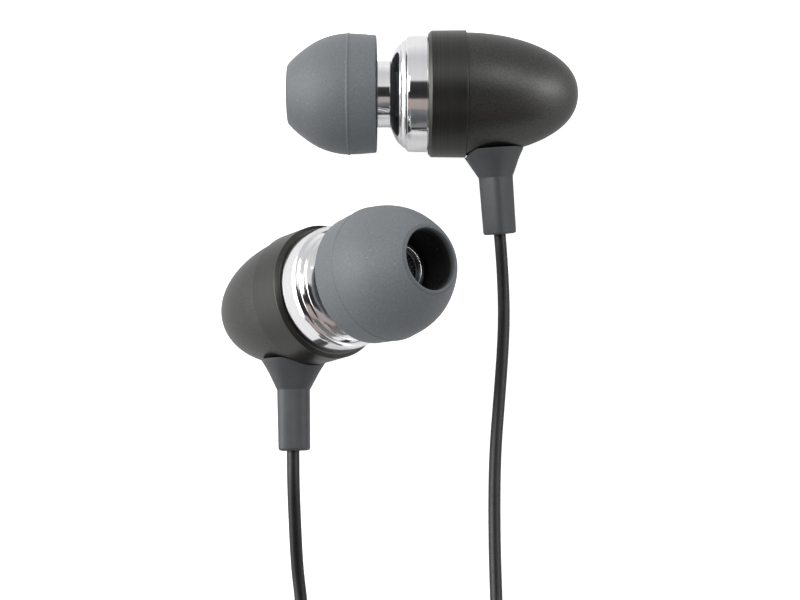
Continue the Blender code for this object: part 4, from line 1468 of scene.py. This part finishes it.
@dataclass
class Splitter(BarrelMoulding):
    """Moulded Y splitter, wide where the two leads enter and round where the main cord leaves."""

    start: float = -90.40
    level: float = 1.80
    length: float = 14.0
    spread: float = 1.15
    lead_socket: float = 0.72
    cord_socket: float = 1.12
    socket_depth: float = 0.8
    lip: float = 0.06
    front: tuple[Point, ...] = ((0.0, 2.35, 1.30, 2.6), (0.04, 2.50, 1.45, 2.6), (0.15, 2.65, 1.60, 2.6))
    plan: tuple[Point, ...] = (
        (0.35, 2.75, 1.70, 2.6), (3.40, 2.80, 1.76, 2.6), (6.50, 2.80, 1.78, 2.6), (8.50, 2.42, 1.77, 2.45),
        (10.50, 1.85, 1.75, 2.3), (12.20, 1.66, 1.67, 2.1), (13.60, 1.60, 1.60, 2.0),
    )
    back: tuple[Point, ...] = ((13.85, 1.52, 1.52, 2.0), (13.96, 1.43, 1.43, 2.0), (14.0, 1.30, 1.30, 2.0))
    grooves: tuple[float, ...] = (2.2, 3.2, 4.2)
    groove_depth: float = 0.10
    groove_reach: float = 0.22

    def build(self) -> bpy.types.Object:
        """Draw the splitter.

        Returns:
            The splitter.
        """
        plan = list(self.front)
        for at, wide, high, power in smooth_line(self.plan, 0.35):
            dips = (math.exp(-(((at - middle) / self.groove_reach) ** 2)) for middle in self.grooves)
            groove = self.groove_depth * sum(dips)
            plan.append((float(at), float(wide - groove), float(high - groove), float(power)))
        plan += self.back
        beside = (-self.spread, self.spread)
        holes = [self.drill(self.lead_socket, 0.0, self.socket_depth, x, self.lip) for x in beside]
        end = self.length - self.socket_depth
        holes.append(self.drill(self.cord_socket, self.length, end, 0.0, self.lip))
        return self.mould("y_splitter", plan, holes, Body.SET)


@dataclass
class Plug(SubAssembly):
    """Straight stereo plug: ribbed boot, moulded grip, and three contacts split by two insulators."""

    axis: tuple[float, float] = (-16.60, 3.25)
    start: float = -107.40
    rib_pitch: float = 2.2
    rib_count: int = 4
    ring_bore: float = 0.75
    grip: Section = (
        (0.0, 12.00, 0.0), (2.60, 12.00, 0.1), (2.95, 12.25, 0.3), (3.15, 13.20, 0.6), (3.20, 15.00, 0.6),
        (3.20, 24.60, 0.6), (3.10, 25.60, 0.5), (2.85, 26.00, 0.2), (2.00, 26.00, 0.08), (2.00, 23.00, 0.0),
        (0.0, 23.00, 0.0),
    )
    tip: Section = (
        (0.0, 32.20, 0.0), (0.50, 32.20, 0.0), (0.50, 36.20, 0.0), (1.60, 36.20, 0.05), (1.72, 36.50, 0.10),
        (1.30, 37.10, 0.15), (1.30, 37.60, 0.15), (1.72, 38.30, 0.35), (1.45, 39.20, 0.6), (0.60, 40.00, 0.3),
        (0.0, 40.10, 0.0),
    )

    def turned(
        self, name: str, corners: Sequence[Corner], finish: Finish, closed: bool = False
    ) -> bpy.types.Object:
        """Turn one piece about the plug's axis.

        Args:
            name: the piece's name.
            corners: its section, with stations from the cord side.
            finish: what it is made of.
            closed: whether the section is a closed ring.

        Returns:
            The piece.
        """
        x, z = self.axis
        mesh = lathed(name, corners, lambda at: at, closed, sides=96)
        return self.show(name, mesh, finish, Body.SET, [name], placed(x, self.start, z, -90.0))

    def boot(self) -> list[Corner]:
        """The boot's section: ribs that swell towards the grip, and a socket for the cord."""
        made = [(0.0, 0.55), (1.08, 0.55, 0.05), (1.08, 0.0, 0.08), (1.45, 0.0, 0.2)]
        for rib in range(self.rib_count):
            at = 0.6 + rib * self.rib_pitch
            swell = 1.60 + 0.16 * rib
            made += [
                (swell, at, 0.15), (swell + 0.08, at + 1.3, 0.15), (swell - 0.25, at + 1.5, 0.1),
                (swell - 0.22, at + 2.0, 0.1),
            ]
        return corners_of([*made, (2.40, 9.60, 0.3), (2.55, 11.70, 0.12), (0.0, 11.70)])

    def build(self) -> list[bpy.types.Object]:
        """Draw the plug's seven pieces.

        Returns:
            The pieces.
        """
        sleeve = ((0.0, 23.25), (1.75, 23.25, 0.05), (1.75, 32.00, 0.06), (0.0, 32.00))
        made = [
            self.turned("plug_boot", self.boot(), RELIEF_RUBBER),
            self.turned("plug_body", corners_of(self.grip), MOULDED_BLACK),
            self.turned("plug_sleeve", corners_of(sleeve), GILT),
            self.turned("plug_tip_contact", corners_of(self.tip), GILT),
        ]
        for name, start, end, radius, finish in (
            ("plug_rear_insulator", 32.03, 32.87, 1.66, INSULATOR),
            ("plug_ring_contact", 32.90, 35.30, 1.75, GILT),
            ("plug_front_insulator", 35.33, 36.17, 1.66, INSULATOR),
        ):
            bore = self.ring_bore
            ring = ((bore, start), (radius, start, 0.06), (radius, end, 0.06), (bore, end))
            made.append(self.turned(name, corners_of(ring), finish, closed=True))
        return made


# Routes of the cords, in millimetres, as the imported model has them.
RIGHT_RUN = (
    (9.84, 1.09, 2.20), (10.01, -0.95, 1.62), (10.15, -3.40, 1.02), (10.20, -6.00, 0.72),
    (10.08, -9.20, 0.61), (9.80, -12.80, 0.60), (9.48, -16.30, 0.60), (9.19, -19.80, 0.60),
    (9.01, -24.00, 0.60), (8.96, -28.00, 0.60), (8.98, -31.40, 0.60), (9.02, -33.80, 0.64),
    (9.10, -35.60, 0.80), (9.50, -37.10, 1.02), (10.36, -38.28, 1.24), (11.62, -38.94, 1.40),
)
LEFT_RUN = (
    (-10.24, -21.20, 6.07), (-10.20, -23.60, 5.70), (-10.12, -26.50, 4.70), (-10.02, -29.60, 3.25),
    (-9.84, -32.40, 1.95), (-9.62, -34.40, 1.40), (-9.62, -36.00, 1.18), (-9.98, -37.35, 1.18),
    (-10.68, -38.40, 1.28), (-11.62, -38.94, 1.40),
)
RIGHT_TAIL = (
    (11.62, -58.07, 3.05), (10.15, -58.52, 2.95), (8.35, -59.25, 2.40), (6.55, -60.40, 1.60),
    (4.75, -62.05, 1.00), (3.15, -64.25, 0.80), (1.95, -66.80, 1.05), (1.34, -69.40, 1.50),
    (1.16, -71.90, 1.73), (1.15, -75.20, 1.75), (1.15, -82.40, 1.75), (1.15, -90.10, 1.75),
)
LEFT_TAIL = tuple((-x, y, z) for x, y, z in RIGHT_TAIL)
MAIN_RUN = (
    (0.00, -104.70, 1.80), (0.10, -107.00, 1.65), (0.72, -109.50, 1.60), (1.95, -111.50, 1.80),
    (3.47, -112.67, 1.95),
)
MAIN_TAIL = (
    (-15.47, -124.70, 9.30), (-15.60, -122.00, 8.85), (-15.95, -119.00, 7.40), (-16.35, -116.00, 5.50),
    (-16.55, -112.80, 3.95), (-16.60, -110.00, 3.35), (-16.60, -107.70, 3.25),
)
LEAD_WINDING = Winding((10.60, -48.50, 1.40), 6.85, 1.65, 2, 6, 75.0, -75.0)
MAIN_WINDING = Winding((-0.70, -127.00, 1.95), 11.50, 2.45, 4, 10, 65.0, -180.0)
CORDS = (
    Cord("right_lead", 1.20, 357.0, RIGHT_RUN, LEAD_WINDING, RIGHT_TAIL),
    Cord("left_lead", 1.20, 335.0, LEFT_RUN, LEAD_WINDING, LEFT_TAIL, hand=-1),
    Cord("main_cord", 2.00, 802.0, MAIN_RUN, MAIN_WINDING, MAIN_TAIL, 1, "plug", (0.7, 0.8), (0.6, 3.0)),
)


def main() -> None:
    """Build the studio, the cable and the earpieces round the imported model."""
    logging.basicConfig(level=logging.INFO, format="%(name)s %(message)s")
    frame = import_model()
    Studio().build()
    drawn = [cord.build() for cord in CORDS]
    ties = [cord.tie() for cord in CORDS]
    Slider().build()
    splitter = Splitter().build()
    plug = Plug().build()
    Earpiece(Side.RIGHT, Lie((6.42, 14.85, 6.28), 180.0, 0.0, -16.5), frame["nodes"]).build()
    Earpiece(Side.LEFT, Lie((-8.96, -6.74, 9.39), 1.98, 49.92, 4.5), frame["nodes"]).build()
    for cord, strand, tie, on_it in zip(CORDS, drawn, ties, ([splitter], [splitter], plug)):
        cord.declare(strand, [*on_it, tie])


if __name__ == "__main__":
    main()
